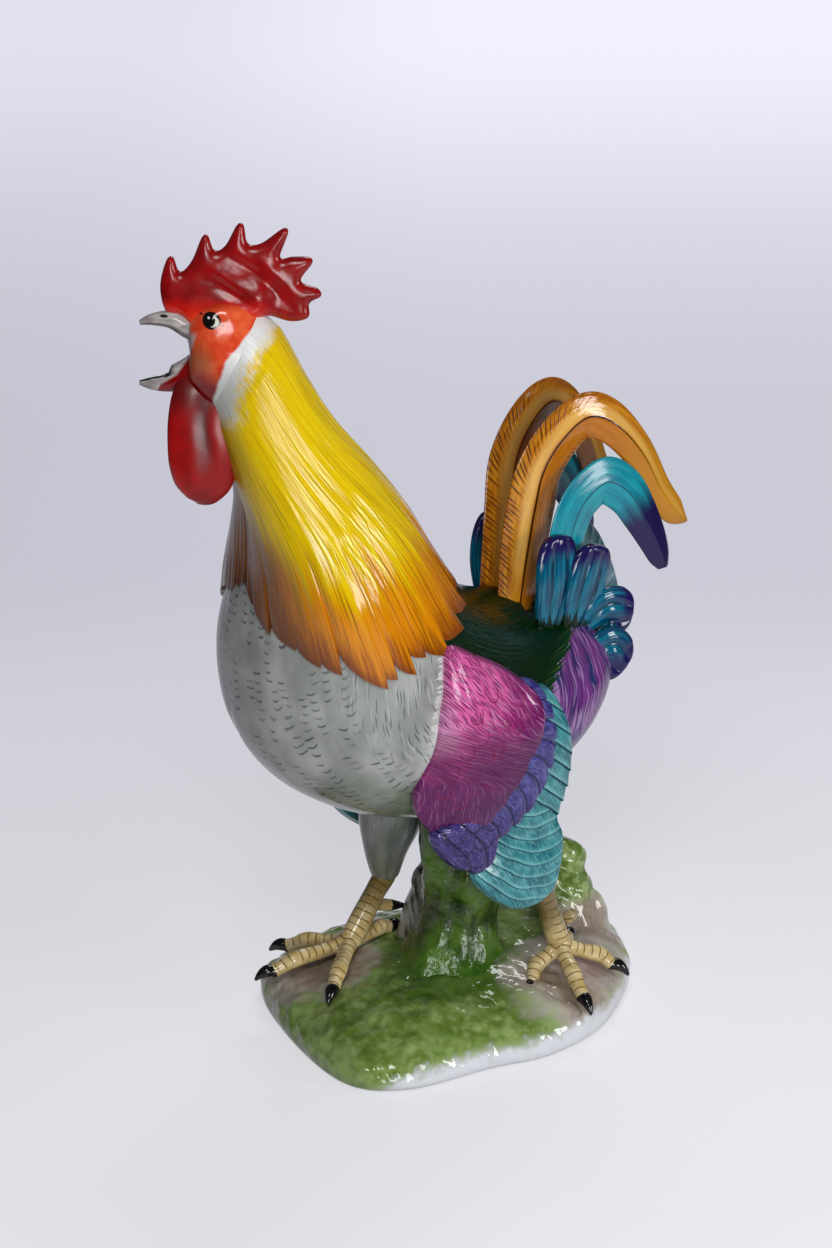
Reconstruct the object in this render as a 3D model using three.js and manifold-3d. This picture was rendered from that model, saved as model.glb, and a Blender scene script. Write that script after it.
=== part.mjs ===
// A painted porcelain rooster figurine crowing on a mossy mound. Millimetres, +Z up.
// The bird faces -Y, its left side is +X, its head is turned to its right, and the
// mound rests on Z = 0. Each mesh is one casting, stuck to its neighbours with slip.
import * as THREE from "three";
import Module from "manifold-3d";

const wasm = await Module();
wasm.setup();

// Driving dimensions
const SLIP_JOINT = 0.3; // gap left between two castings
const BODY_WALL = 5; // thickness of the hollow trunk
const HACKLE_WALL = 5; // thickness of the hollow neck
const HACKLE_LIFT = 3.2; // how far the neck feathers stand over the trunk
const HACKLE_LIP = 1.4; // the same at their jagged lower edge
const HACKLE_FLARE = 5; // the two lobes beside the throat stand off this much more
const TENON_LENGTH = 7; // head tenon inside the hackle
const TURN_AXIS_Y = -98; // the neck turns about this upright line
const HEAD_TURN = -38; // degrees, towards the bird's right
const COMB_THICK = 6;
const COMB_ROUND = 1.3;
const WATTLE_HALF_THICK = 4.5;
const WING_THICK = 8.5;
const SICKLE_THICK = 5;
const COVERT_THICK = 6.5;
const FAN_THICK = 11;
const FAN_ROUND = 3;
const TOE_RADIUS = 3.8;
const SHANK_RADIUS = 5.4;
const SPUR_RADIUS = 3;
const ANKLE_TENON = 4; // how far the shank enters the thigh
const ANKLE_CUT = 12; // how far below the ankle the thigh is cleared for the shank
const MOUND_FLOOR = 5; // the flat underside of the hollow mound
const MOUND_WALL = 6;
const MOUND_HEEL = 2; // extra wall where the floor and roof meet the sides
const VENT_RADIUS = 4; // firing vent through the mound's underside
const STUMP_RADIUS = 17;

// Colours of the painted glaze
const PAINT = {
  moss: 0x6f8f3c,
  bark: 0x2f5d1e,
  greyWhite: 0xb9bab4,
  thighGrey: 0x8d918c,
  hackleYellow: 0xe2b512,
  face: 0xd8431f,
  combRed: 0x9c0f12,
  beakGrey: 0xa8a29d,
  shankTan: 0xc7b070,
  pink: 0xb34a92,
  violet: 0x5d5aa8,
  turquoise: 0x43aab4,
  gold: 0xd08a1c,
  coverts: 0x1d7f98,
};

// Smooth curve through rows of numbers, asked at t from 0 to 1
function through(rows) {
  const last = rows.length - 1;
  const row = (k) => rows[Math.min(Math.max(k, 0), last)];
  return (t) => {
    const place = Math.min(Math.max(t, 0), 1) * last;
    const i = Math.min(Math.floor(place), last - 1);
    const f = place - i;
    return rows[0].map((_, c) => {
      const [a, b, d, e] = [row(i - 1)[c], row(i)[c], row(i + 1)[c], row(i + 2)[c]];
      return b + 0.5 * f * (d - a + f * (2 * a - 5 * b + 4 * d - e + f * (3 * (b - d) + e - a)));
    });
  };
}

const point = (x, y, z) => new THREE.Vector3(x, y, z);

// Closed solid from rings of points; the first and last ring close to their middles
function skin(rings) {
  const middle = (ring) =>
    ring.reduce((sum, p) => sum.add(p), point(0, 0, 0)).divideScalar(ring.length);
  const all = [[middle(rings[0])], ...rings, [middle(rings[rings.length - 1])]];
  const points = all.flat();
  const faces = [];
  let start = 0;
  for (let i = 0; i + 1 < all.length; i++) {
    const a = all[i].length;
    const b = all[i + 1].length;
    const next = start + a;
    for (let j = 0; j < Math.max(a, b); j++) {
      if (a > 1) faces.push(start + j, start + ((j + 1) % a), next + (j % b));
      if (b > 1) faces.push(start + ((j + 1) % a), next + ((j + 1) % b), next + j);
    }
    start = next;
  }
  return solidOf(points, faces);
}

function solidOf(points, faces) {
  const make = (triVerts) =>
    new wasm.Manifold(
      new wasm.Mesh({
        numProp: 3,
        vertProperties: new Float32Array(points.flatMap((p) => [p.x, p.y, p.z])),
        triVerts: new Uint32Array(triVerts),
      }),
    );
  const made = make(faces);
  if (made.volume() > 0) return made;
  return make(faces.slice().reverse());
}

// Solid of a three.js geometry
function solidOfGeometry(geometry) {
  const flat = geometry.index ? geometry.toNonIndexed() : geometry;
  const place = flat.getAttribute("position");
  const points = [];
  const faces = [];
  const seen = new Map();
  for (let i = 0; i < place.count; i++) {
    const p = point(place.getX(i), place.getY(i), place.getZ(i));
    const key = p.toArray().map((v) => Math.round(v * 1000)).join();
    if (!seen.has(key)) {
      seen.set(key, points.length);
      points.push(p);
    }
    faces.push(seen.get(key));
  }
  const whole = [];
  for (let i = 0; i < faces.length; i += 3) {
    const [a, b, c] = faces.slice(i, i + 3);
    if (a !== b && b !== c && c !== a) whole.push(a, b, c);
  }
  return solidOf(points, whole);
}

// The largest body of a cut, without the slivers that a cut can leave
function largest(solid) {
  return solid.decompose().reduce((a, b) => (a.volume() > b.volume() ? a : b));
}

const group = new THREE.Group();
group.name = "porcelain_rooster";

function addPiece(name, solid, colour, roughness = 0.12) {
  const body = largest(solid);
  const data = body.getMesh();
  const n = data.numProp;
  const place = new Float32Array(data.numVert * 3);
  for (let i = 0; i < data.numVert; i++) {
    place.set(data.vertProperties.subarray(i * n, i * n + 3), i * 3);
  }
  const geometry = new THREE.BufferGeometry();
  geometry.setAttribute("position", new THREE.BufferAttribute(place, 3));
  geometry.setIndex(new THREE.BufferAttribute(data.triVerts, 1));
  geometry.computeVertexNormals();
  const material = new THREE.MeshStandardMaterial({ color: colour, roughness, metalness: 0 });
  const mesh = new THREE.Mesh(geometry, material);
  mesh.name = name;
  group.add(mesh);
}

const mirrored = (solid) => solid.mirror([1, 0, 0]);

// The bird's outline in its middle plane, from beak to rump. Each row is one section:
// back Y and Z, front Y and Z, half width, and how far the neck turns there in degrees.
const BIRD = [
  [-124.5, 322, -125.5, 320, 1.2, HEAD_TURN],
  [-122, 329, -124, 312, 8.5, HEAD_TURN],
  [-113, 334, -125, 301, 12.5, HEAD_TURN],
  [-103, 333, -121, 293, 14.5, HEAD_TURN],
  [-95, 326, -115, 288, 16, HEAD_TURN],
  [-88, 315, -111, 280, 18, -34],
  [-80, 299, -107, 267, 21.5, -28],
  [-69, 281, -103, 250, 27.5, -20],
  [-53, 262, -103, 230, 35.5, -12],
  [-38, 243, -107, 205, 42.5, -5],
  [-24, 223, -110, 180, 47.5, 0],
  [-10, 204, -107, 154, 50.5, 0],
  [6, 189, -93, 131, 51.5, 0],
  [21, 180, -68, 112, 51.5, 0],
  [34, 177, -39, 100, 50.5, 0],
  [46, 176, -10, 97, 49, 0],
  [57, 175, 20, 102, 45, 0],
  [67, 168, 43, 114, 36, 0],
  [74, 157, 60, 131, 21, 0],
  [76.5, 146, 75.5, 144, 1.2, 0],
];
const section = (k) => k / (BIRD.length - 1);
const HEAD_END = section(3.7);
const TRUNK_START = section(7.6);
const HOLLOW_END = section(17.4);
const OPEN_PAST = 0.02; // a hollow runs on past the end of its casting, which leaves it open
const birdRow = through(BIRD);

// Point of the bird's surface: t along it, angle round it (0 at the back), grown outwards
function birdPoint(t, angle, grow = 0, ahead = 0) {
  const [backY, backZ, frontY, frontZ, half, turn] = birdRow(t);
  const across = new THREE.Vector2(backY - frontY, backZ - frontZ).multiplyScalar(0.5);
  const reach = Math.max(across.length(), 0.5);
  across.setLength(reach + grow);
  const y = (backY + frontY) / 2 + across.x * Math.cos(angle) + (across.y / (reach + grow)) * ahead;
  const z = (backZ + frontZ) / 2 + across.y * Math.cos(angle) - (across.x / (reach + grow)) * ahead;
  const x = (half + grow) * Math.sin(angle);
  const turned = new THREE.Vector2(x, y - TURN_AXIS_Y);
  turned.rotateAround(new THREE.Vector2(0, 0), THREE.MathUtils.degToRad(turn));
  return point(turned.x, turned.y + TURN_AXIS_Y, z);
}

// Length of the bird of sections from one place to another; the far one may vary round it
function bird(from, to, grow, steps, sides, lift = () => grow) {
  const rings = [];
  const end = typeof to === "function" ? to : () => to;
  for (let i = 0; i <= steps; i++) {
    const ring = [];
    for (let j = 0; j < sides; j++) {
      const angle = (2 * Math.PI * j) / sides;
      const t = from + ((end(angle) - from) * i) / steps;
      const ahead = i === 0 ? -Math.max(grow, 0) : i === steps ? Math.max(grow, 0) : 0;
      ring.push(birdPoint(t, angle, lift(i / steps, angle), ahead));
    }
    rings.push(ring);
  }
  return skin(rings);
}

// Place along the bird that lies a given distance on from another
function further(from, distance) {
  const middle = (t) => birdPoint(t, 0).add(birdPoint(t, Math.PI)).divideScalar(2);
  const step = 0.0005;
  let t = from;
  for (let gone = 0; gone < distance; t += step) {
    gone += middle(t).distanceTo(middle(t + step));
  }
  return t;
}

// How finely each casting is divided: steps along it and sides round it
const EDGE_JAGS = 15;
const TRUNK_MESH = [22, 30];
const HEAD_MESH = [9, 20];
const TENON_MESH = [3, 18];
const HACKLE_MESH = [10, 3 * EDGE_JAGS];

// Weight of the two lobes beside the throat, from none to 1, at an angle round the neck
function besideThroat(angle) {
  return Math.cos(angle) < 0 ? Math.abs(Math.sin(2 * angle)) : 0;
}

// Jagged lower edge of the hackle, as the section it reaches at every 30 degrees from
// the back round to the throat, where it is highest
const EDGE_SECTIONS = [[10.3], [10.7], [11], [10.7], [9.9], [8.9], [8.2]];
const EDGE_JAG_DEPTH = 0.3; // in sections
const RIGHT_LOBE_SHORTER = 0.4; // in sections
const edgeSection = through(EDGE_SECTIONS);
function hackleEdge(angle) {
  const onRight = angle > Math.PI;
  const aside = Math.abs(onRight ? angle - 2 * Math.PI : angle) / Math.PI;
  const saw = Math.abs((((angle * EDGE_JAGS) / (2 * Math.PI)) % 1) - 0.5) * 2;
  const shorter = onRight ? RIGHT_LOBE_SHORTER * besideThroat(angle) : 0;
  return section(edgeSection(aside)[0] + EDGE_JAG_DEPTH * (saw - 0.5) - shorter);
}
function hackleLift(share, angle) {
  const rise = HACKLE_LIFT * Math.min(1, share / 0.15) * (1 - share);
  const flare = HACKLE_FLARE * Math.sin(Math.PI * 0.8 * share ** 2);
  return rise + HACKLE_LIP * share + flare * besideThroat(angle);
}

const trunkOuter = bird(TRUNK_START, 1, 0, ...TRUNK_MESH);
const trunkClear = bird(TRUNK_START, 1, SLIP_JOINT, ...TRUNK_MESH);
const trunkHollow = bird(TRUNK_START - OPEN_PAST, HOLLOW_END, -BODY_WALL, 10, 16);

const headOuter = bird(0, HEAD_END, 0, ...HEAD_MESH);
const headClear = bird(0, HEAD_END, SLIP_JOINT, ...HEAD_MESH);
const tenonRoot = HEAD_END - OPEN_PAST / 2;
const tenonEnd = further(HEAD_END, TENON_LENGTH);
const socketEnd = further(tenonEnd, SLIP_JOINT);
const headTenon = bird(tenonRoot, tenonEnd, -HACKLE_WALL - SLIP_JOINT, ...TENON_MESH);
const headSocket = bird(tenonRoot, socketEnd, -HACKLE_WALL, ...TENON_MESH);

const hackleOuter = bird(HEAD_END, hackleEdge, 0, ...HACKLE_MESH, hackleLift);
const clearLift = (share, angle) => hackleLift(share, angle) + SLIP_JOINT;
const hackleClear = bird(HEAD_END, hackleEdge, SLIP_JOINT, ...HACKLE_MESH, clearLift);
function makeHackle() {
  const bore = bird(HEAD_END - OPEN_PAST, TRUNK_START + OPEN_PAST, -HACKLE_WALL, 8, 20);
  return hackleOuter.subtract(headClear).subtract(headSocket).subtract(bore).subtract(trunkClear);
}

// What belongs to the head is drawn facing -Y with the turning line as its Z axis, then turned
function headMatrix() {
  const turn = new THREE.Matrix4().makeRotationZ(THREE.MathUtils.degToRad(HEAD_TURN));
  const shift = new THREE.Matrix4().makeTranslation(0, TURN_AXIS_Y, 0);
  return shift.multiply(turn);
}
const inHead = (solid) => solid.transform(headMatrix().toArray());

// Tube of round sections along a path: rows are x, y, z, half width, half thickness
function sweep(rows, sides, steps, widthDirection) {
  const at = through(rows);
  const rings = [];
  for (let i = 0; i <= steps; i++) {
    const t = i / steps;
    const [x, y, z, wide, thick] = at(t);
    const before = at(t - 0.01);
    const after = at(t + 0.01);
    const tangent = point(after[0] - before[0], after[1] - before[1], after[2] - before[2]).normalize();
    const wideWay = widthDirection.clone().cross(tangent).cross(tangent).negate().normalize();
    const thickWay = tangent.clone().cross(wideWay);
    const ring = [];
    for (let j = 0; j < sides; j++) {
      const angle = (2 * Math.PI * j) / sides;
      ring.push(
        point(x, y, z)
          .addScaledVector(wideWay, wide * Math.cos(angle))
          .addScaledVector(thickWay, thick * Math.sin(angle)),
      );
    }
    rings.push(ring);
  }
  return skin(rings);
}
const roundRows = (rows) => rows.map(([x, y, z, r]) => [x, y, z, r, r]);
const SIDEWAYS = point(1, 0, 0);
const UPWARDS = point(0, 0, 1);

// Comb: seven points on a curved blade, drawn in the head's middle plane (y back, z up)
const COMB_POINTS = [
  [-34.8, 327], [-36.4, 338.6], [-32.6, 349.2], [-28.6, 344.1], [-24, 349], [-18.7, 357.4],
  [-15.4, 352.5], [-11, 354.5], [-5.2, 362.8], [-3, 355], [2, 355.5], [11.8, 360.5],
  [8.6, 349.6], [13.5, 349.8], [21.2, 348.4], [17, 340.6], [24.4, 335.9], [19.6, 331.6],
  [18.2, 325.6], [10, 325.5], [3, 329], [-12, 322],
];
const COMB_SIDES = 76;
const makeComb = () => inHead(blade(COMB_POINTS, COMB_SIDES, COMB_THICK, COMB_ROUND));

// Flat blade across X from an outline in Y and Z, its rim drawn in by the rounding
function blade(corners, sides, thick, round) {
  const corner = corners.map(([y, z]) => point(0, y, z));
  const curve = new THREE.CatmullRomCurve3(corner, true, "catmullrom", 0.35);
  const outline = curve.getSpacedPoints(sides).slice(0, sides);
  const flat = outline.map((p) => new THREE.Vector2(p.y, p.z));
  const turning = THREE.ShapeUtils.isClockWise(flat) ? 1 : -1;
  const inwards = outline.map((p, i) => {
    const before = outline[(i + sides - 1) % sides];
    const after = outline[(i + 1) % sides];
    return point(0, after.z - before.z, before.y - after.y).setLength(turning);
  });
  const layers = [[round, -0.5], [0, -0.2], [0, 0.2], [round, 0.5]]; // drawn in, share of thickness
  const points = layers.flatMap(([inset, share]) =>
    outline.map((p, i) => p.clone().addScaledVector(inwards[i], inset).setX(share * thick)),
  );
  const faces = [];
  const last = (layers.length - 1) * sides;
  for (const [a, b, c] of THREE.ShapeUtils.triangulateShape(flat, [])) {
    const sameWay = THREE.ShapeUtils.isClockWise([flat[a], flat[b], flat[c]]) === turning > 0;
    const [u, v] = sameWay ? [b, c] : [c, b];
    faces.push(a, v, u, last + a, last + u, last + v);
  }
  for (let i = 0; i + 1 < layers.length; i++) {
    for (let j = 0; j < sides; j++) {
      const a = i * sides + j;
      const b = i * sides + ((j + 1) % sides);
      faces.push(a, b, b + sides, a, b + sides, a + sides);
    }
  }
  return solidOf(points, faces);
}

// Beak halves in the head's middle plane: x, y, z, half width and half height at each row
const UPPER_BEAK = [
  [0, -20, 321, 7, 7.5], [0, -26, 321.5, 6.2, 6], [0, -33, 324.5, 4.6, 3.8],
  [0, -40, 324.8, 3, 2.2], [0, -45, 324, 1.2, 1],
];
const LOWER_BEAK = [
  [0, -20, 308, 6.5, 6], [0, -27, 304, 5.8, 4.6], [0, -34, 301.5, 5, 3.6],
  [0, -41, 300.6, 3.4, 2.4], [0, -46, 300.4, 1.2, 1],
];
function makeBeak(rows, grow = 0) {
  const grown = rows.map(([x, y, z, wide, high]) => [x, y, z, wide + grow, high + grow]);
  return inHead(sweep(grown, 10, 7, SIDEWAYS));
}

// Left wattle, hanging beside the chin: x, y, z, half width, and share of the thickness
const WATTLE = [
  [6, -24, 304, 4, 0.67], [8, -25, 296, 8.5, 0.9], [9, -23.5, 284, 11.5, 1], [9.5, -21.5, 272, 13.2, 1],
  [9, -21.5, 262, 11, 0.9], [8.5, -22, 255.5, 6, 0.6], [8.5, -22.5, 253.3, 1.5, 0.22],
];
function makeWattle(side) {
  const rows = WATTLE.map(([x, y, z, wide, share]) => [side * x, y, z, wide, WATTLE_HALF_THICK * share]);
  return inHead(sweep(rows, 12, 11, point(0, 1, 0)));
}

// Wings: three layers of a curtain that follows the flank. An outline is drawn in Y and Z,
// and proud is how far its middle stands out from the flank.
const FLANK_HALF_WIDTHS = [[51], [51], [51], [51], [51.5], [52], [51.5], [49], [44], [37], [28]];
const FLANK_LOW = 60; // height of the first of these half widths
const FLANK_HIGH = 200; // height of the last
const flankOfHeight = through(FLANK_HALF_WIDTHS);
function flank(y, z) {
  const widest = flankOfHeight((z - FLANK_LOW) / (FLANK_HIGH - FLANK_LOW))[0];
  return Math.max(widest * (1 - 0.16 * ((y + 5) / 55) ** 2), bodyHalfWidth(y, z));
}

// Half width of the bird's body over a place in its middle plane, on the section through it
function bodyHalfWidth(y, z) {
  const aside = (t) => {
    const [backY, backZ, frontY, frontZ] = birdRow(t);
    return (frontY - backY) * (z - backZ) - (frontZ - backZ) * (y - backY);
  };
  const headward = Math.sign(aside(TRUNK_START));
  let low = TRUNK_START;
  let high = 1;
  while (high - low > 1e-6) {
    const middle = (low + high) / 2;
    if (aside(middle) * headward > 0) low = middle;
    else high = middle;
  }
  const [backY, backZ, frontY, frontZ, half] = birdRow(low);
  const reach = Math.hypot(backY - frontY, backZ - frontZ) / 2;
  const out = Math.hypot(y - (backY + frontY) / 2, z - (backZ + frontZ) / 2) / reach;
  return half * Math.sqrt(Math.max(0, 1 - out ** 2));
}
const WING_PROUD = { shoulder: [7, 4.5], band: [5.5, 3.2], flights: [4, 2] }; // middle, edge
function layer({ outline, centre }, [proud, edge], grow = 0) {
  const curve = new THREE.CatmullRomCurve3(outline.map(([y, z]) => point(0, y, z)), true);
  const sides = 22;
  const round = curve.getSpacedPoints(sides).slice(0, sides);
  const outer = [];
  const inner = [];
  for (const share of [0.35, 0.7, 0.92, 1]) {
    const ringOut = [];
    const ringIn = [];
    for (const p of round) {
      const dy = p.y - centre[0];
      const dz = p.z - centre[1];
      const stretch = share * (1 + grow / Math.hypot(dy, dz));
      const y = centre[0] + dy * stretch;
      const z = centre[1] + dz * stretch;
      const dome = Math.sqrt(Math.max(0, 1 - share ** 4));
      const x = flank(y, z) + edge + (proud - edge) * dome + grow;
      ringOut.push(point(x, y, z));
      ringIn.push(point(x - WING_THICK * (0.35 + 0.65 * dome) - 2 * grow, y, z));
    }
    outer.push(ringOut);
    inner.push(ringIn);
  }
  return skin([...inner, ...outer.reverse()]);
}
const WING_SHOULDER = {
  outline: [
    [-42, 190], [-27, 183], [-10, 172], [3, 158], [1, 142], [-14, 121], [-30, 107], [-45, 108],
    [-55, 124], [-50, 147], [-46, 168],
  ],
  centre: [-28, 146],
};
const WING_BAND = {
  outline: [
    [-6, 166], [7, 158], [10, 135], [2, 116], [-9, 107], [-19, 101], [-23, 91], [-30, 89],
    [-42, 97], [-48, 110], [-30, 118], [-10, 140],
  ],
  centre: [-20, 112],
};
const WING_FLIGHTS = {
  outline: [
    [0, 160], [10, 160], [21, 135], [21, 112], [17, 97], [18, 84], [14, 72], [2, 66], [-13, 70],
    [-30, 88], [-16, 110], [0, 135],
  ],
  centre: [4, 98],
};

// Leg: thigh down to the ankle, then one casting of shank, spur and toes
const RIGHT_LEG = {
  thigh: [
    [-24, -6, 118, 16], [-25, -12, 98, 17], [-26, -14.5, 80, 14.5], [-27, -16, 66, 10],
    [-27.5, -16, 54, 6.6],
  ],
  ankle: [-27.5, -16, 53],
  foot: [-22, -40, 31],
  toes: [
    [[-26, -66, 27], [-32, -84, 20]],
    [[-37, -52, 27], [-51, -63, 20]],
    [[-7, -57, 27], [5, -72, 20]],
    [[-26, -20, 28], [-27, -7, 24]],
  ],
  spur: [[-26, -22, 40], [-24, -8, 36]],
};
const LEFT_LEG = {
  thigh: [
    [32, -2, 118, 15], [33, 7, 98, 12.5], [34, 14.5, 80, 10], [34.8, 19.6, 66, 7.6], [35, 21.2, 60, 6.6],
  ],
  ankle: [35, 21.2, 59],
  foot: [41, 27, 34],
  toes: [
    [[40, 15, 25], [50, 0, 17]],
    [[56, 22, 25], [73, 18, 14]],
    [[49, 43, 25], [59, 52, 16]],
    [[32, 38, 27], [26, 47, 25]],
  ],
  spur: [[38, 34, 42], [34, 43, 40]],
};
function makeFoot(leg) {
  const [ax, ay, az] = leg.ankle;
  const [fx, fy, fz] = leg.foot;
  const shank = [
    [ax, ay, az + ANKLE_TENON, SHANK_RADIUS * 0.8],
    [ax, ay, az, SHANK_RADIUS],
    [(2 * ax + fx) / 3, (2 * ay + fy) / 3, (2 * az + fz) / 3, SHANK_RADIUS],
    [(ax + 2 * fx) / 3, (ay + 2 * fy) / 3, (az + 2 * fz) / 3 - 1, SHANK_RADIUS * 1.05],
    [fx, fy, fz - 2, SHANK_RADIUS * 0.95],
  ];
  let foot = sweep(roundRows(shank), 10, 6, SIDEWAYS);
  for (const [knuckle, tip] of leg.toes) {
    const path = [
      [fx, fy, fz - 2, TOE_RADIUS * 1.15],
      [(fx + knuckle[0]) / 2, (fy + knuckle[1]) / 2, (fz + knuckle[2]) / 2, TOE_RADIUS],
      [...knuckle, TOE_RADIUS * 0.95],
      [(knuckle[0] + tip[0]) / 2, (knuckle[1] + tip[1]) / 2, (knuckle[2] + tip[2]) / 2, TOE_RADIUS * 0.8],
      [...tip, 0.9],
    ];
    foot = foot.add(sweep(roundRows(path), 8, 6, UPWARDS));
  }
  const [root, tip] = leg.spur;
  const spur = [[...root, SPUR_RADIUS], [...tip, SPUR_RADIUS * 0.4]];
  return foot.add(sweep(roundRows(spur), 8, 2, UPWARDS));
}
function makeThigh(leg, grow = 0) {
  const rows = leg.thigh.map(([x, y, z, r]) => [x, y, z, r + grow]);
  return sweep(roundRows(rows), 12, 7, SIDEWAYS);
}
// What the thigh fills, less its ankle socket
function makeThighSkin(leg) {
  return makeThigh(leg, SLIP_JOINT).subtract(ankleSocket(leg, -SLIP_JOINT));
}
function ankleSocket(leg, less = 0) {
  const [x, y, z] = leg.ankle;
  const r = SHANK_RADIUS + SLIP_JOINT + less;
  const top = z + ANKLE_TENON + SLIP_JOINT + less;
  const rows = [[x, y, z - ANKLE_CUT, r], [x, y, z, r], [x, y, top, r * 0.9]];
  return sweep(roundRows(rows), 12, 4, SIDEWAYS);
}

// Tail: broad curved blades whose width lies in the arch's own plane.
// Rows run from root to tip: x, y, z, half width.
const GOLD_SICKLE = [
  [6, 27.5, 172, 8.5], [6, 30, 188, 11], [6, 33, 205, 13], [7, 35.5, 222, 13.6], [9, 38.5, 239, 13],
  [11, 48, 252.5, 12], [13, 60, 259.5, 10.4], [15.5, 72.5, 254.5, 9.2], [18, 86, 239.5, 7.8],
  [20, 96, 221, 7], [21.5, 104, 210, 6], [22.5, 109.5, 205, 2],
];
const TURQUOISE_SICKLE = [
  [15, 42, 166, 6], [17, 43.5, 184, 8.5], [18, 45, 200, 9.5], [19, 47, 214, 10.5], [20, 53, 225, 11.6],
  [21, 64, 231, 11.8], [22, 75, 224.5, 11], [23, 83.5, 213.5, 9.2], [24, 90, 201.5, 6.9],
  [24.5, 94.5, 192, 4.2], [25, 96.5, 186.5, 1.5],
];
function makeSickle(rows, side, grow = 0) {
  const feather = rows.map(([x, y, z, wide], i) => {
    const thick = (SICKLE_THICK / 2) * (i === rows.length - 1 ? 0.5 : 1);
    return [side * x, y, z, thick + grow, wide + grow];
  });
  return sweep(feather, 10, 20, SIDEWAYS);
}

// Short rounded coverts fanning out at the tail root: root, middle and tip of each
const COVERTS = [
  [[19, 35, 166], [22, 37.5, 191], [21, 39, 213]],
  [[21, 46, 165], [24, 52, 187], [25, 57, 206]],
  [[18, 48, 162], [25, 63, 174], [26, 77, 171]],
  [[20, 48, 150], [30, 61, 158], [31, 69, 149]],
];
function makeCovert([root, middle, tip], side, grow = 0) {
  const between = (a, b, f) => a.map((v, k) => v + (b[k] - v) * f);
  const rows = [
    [...root, 6],
    [...between(root, middle, 0.5), 8.5],
    [...middle, 10.5],
    [...between(middle, tip, 0.55), 10.5],
    [...between(middle, tip, 0.88), 7],
    [...tip, 2],
  ];
  const leaf = rows.map(([x, y, z, wide]) => {
    const half = Math.min(COVERT_THICK / 2, wide);
    return [side * x, y, z, half + grow, wide + grow];
  });
  return sweep(leaf, 8, 9, SIDEWAYS);
}

// Tail fan: the blade in the middle plane that fills the tail between the two sides
const FAN_POINTS = [
  [44, 166], [48, 186], [54, 200], [65, 207], [76, 204], [84, 192], [90, 178], [92, 165], [84, 152],
  [66, 150],
];
const FAN_SIDES = 36;
const makeFan = () => blade(FAN_POINTS, FAN_SIDES, FAN_THICK, FAN_ROUND);

// Mound: an irregular low rock, with a taller lump behind the stump
const MOUND_CENTRE = [5, 2];
const MOUND_OUTLINE = [
  [-52, -66], [-15, -82], [35, -88], [57, -70], [65, -31], [72, -4], [68, 28], [49, 60], [29, 78],
  [6, 87], [-20, 80], [-46, 52], [-60, 10], [-63, -32],
];
const MOUND_PROFILE = [
  [0.965, 0], [1, 3], [1, 8], [0.965, 12.5], [0.88, 17], [0.74, 21], [0.56, 24], [0.36, 26],
  [0.16, 27],
]; // share of the outline and height
const MOUND_ROOF_START = 8; // the hollow follows the profile above this height
const moundCurve = new THREE.CatmullRomCurve3(MOUND_OUTLINE.map(([x, y]) => point(x, y, 0)), true);
function moundRing(share, z, inset, sides) {
  return moundCurve.getSpacedPoints(sides).slice(0, sides).map((p) => {
    const away = point(p.x - MOUND_CENTRE[0], p.y - MOUND_CENTRE[1], 0);
    away.setLength(Math.max(away.length() * share - inset, 1));
    return point(MOUND_CENTRE[0] + away.x, MOUND_CENTRE[1] + away.y, z);
  });
}
const ROCK = [
  [6, 60, 10, 20], [5, 60, 22, 16], [4.5, 59, 36, 13], [5, 58, 48, 11], [6, 57, 56, 7], [6, 57, 59, 2],
];
const LOW_ROCK = [[11, 72, 8, 11], [11, 71, 18, 9.5], [11, 70, 27, 8], [11, 70, 31, 5.5], [11, 70, 33, 2]];
function moundOuter(grow = 0) {
  const rings = MOUND_PROFILE.map(([share, z]) => moundRing(share, z + (z > 0 ? grow : 0), -grow, 30));
  const rocks = [ROCK, LOW_ROCK].map((rows) =>
    sweep(roundRows(rows.map(([x, y, z, r]) => [x, y, z, r + grow])), 12, 7, SIDEWAYS),
  );
  return skin(rings).add(rocks[0]).add(rocks[1]);
}
const VENT_PLACE = [5, -18];
function makeMound() {
  const roof = MOUND_PROFILE.filter(([, z]) => z > MOUND_ROOF_START);
  const inset = MOUND_WALL + MOUND_HEEL;
  const rings = [
    moundRing(1, MOUND_FLOOR, inset, 20),
    ...roof.map(([share, z]) => moundRing(share, z - MOUND_WALL, inset, 20)),
  ];
  const vent = new THREE.CylinderGeometry(VENT_RADIUS, VENT_RADIUS, 3 * MOUND_FLOOR, 24);
  vent.rotateX(Math.PI / 2);
  vent.translate(...VENT_PLACE, MOUND_FLOOR / 2);
  return moundOuter().subtract(skin(rings)).subtract(solidOfGeometry(vent));
}

// Tree stump: a fluted prop from the mound to the belly
const STUMP = [
  [9, -7, 16, 1.75], [9, -6, 24, 1.4], [9, -5, 33, 1.12], [9, -4, 45, 0.97], [9, -4, 60, 0.95],
  [8, -3, 76, 1], [6, 0, 92, 1.1], [3, 4, 108, 1.1], [2, 6, 122, 1],
];
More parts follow.
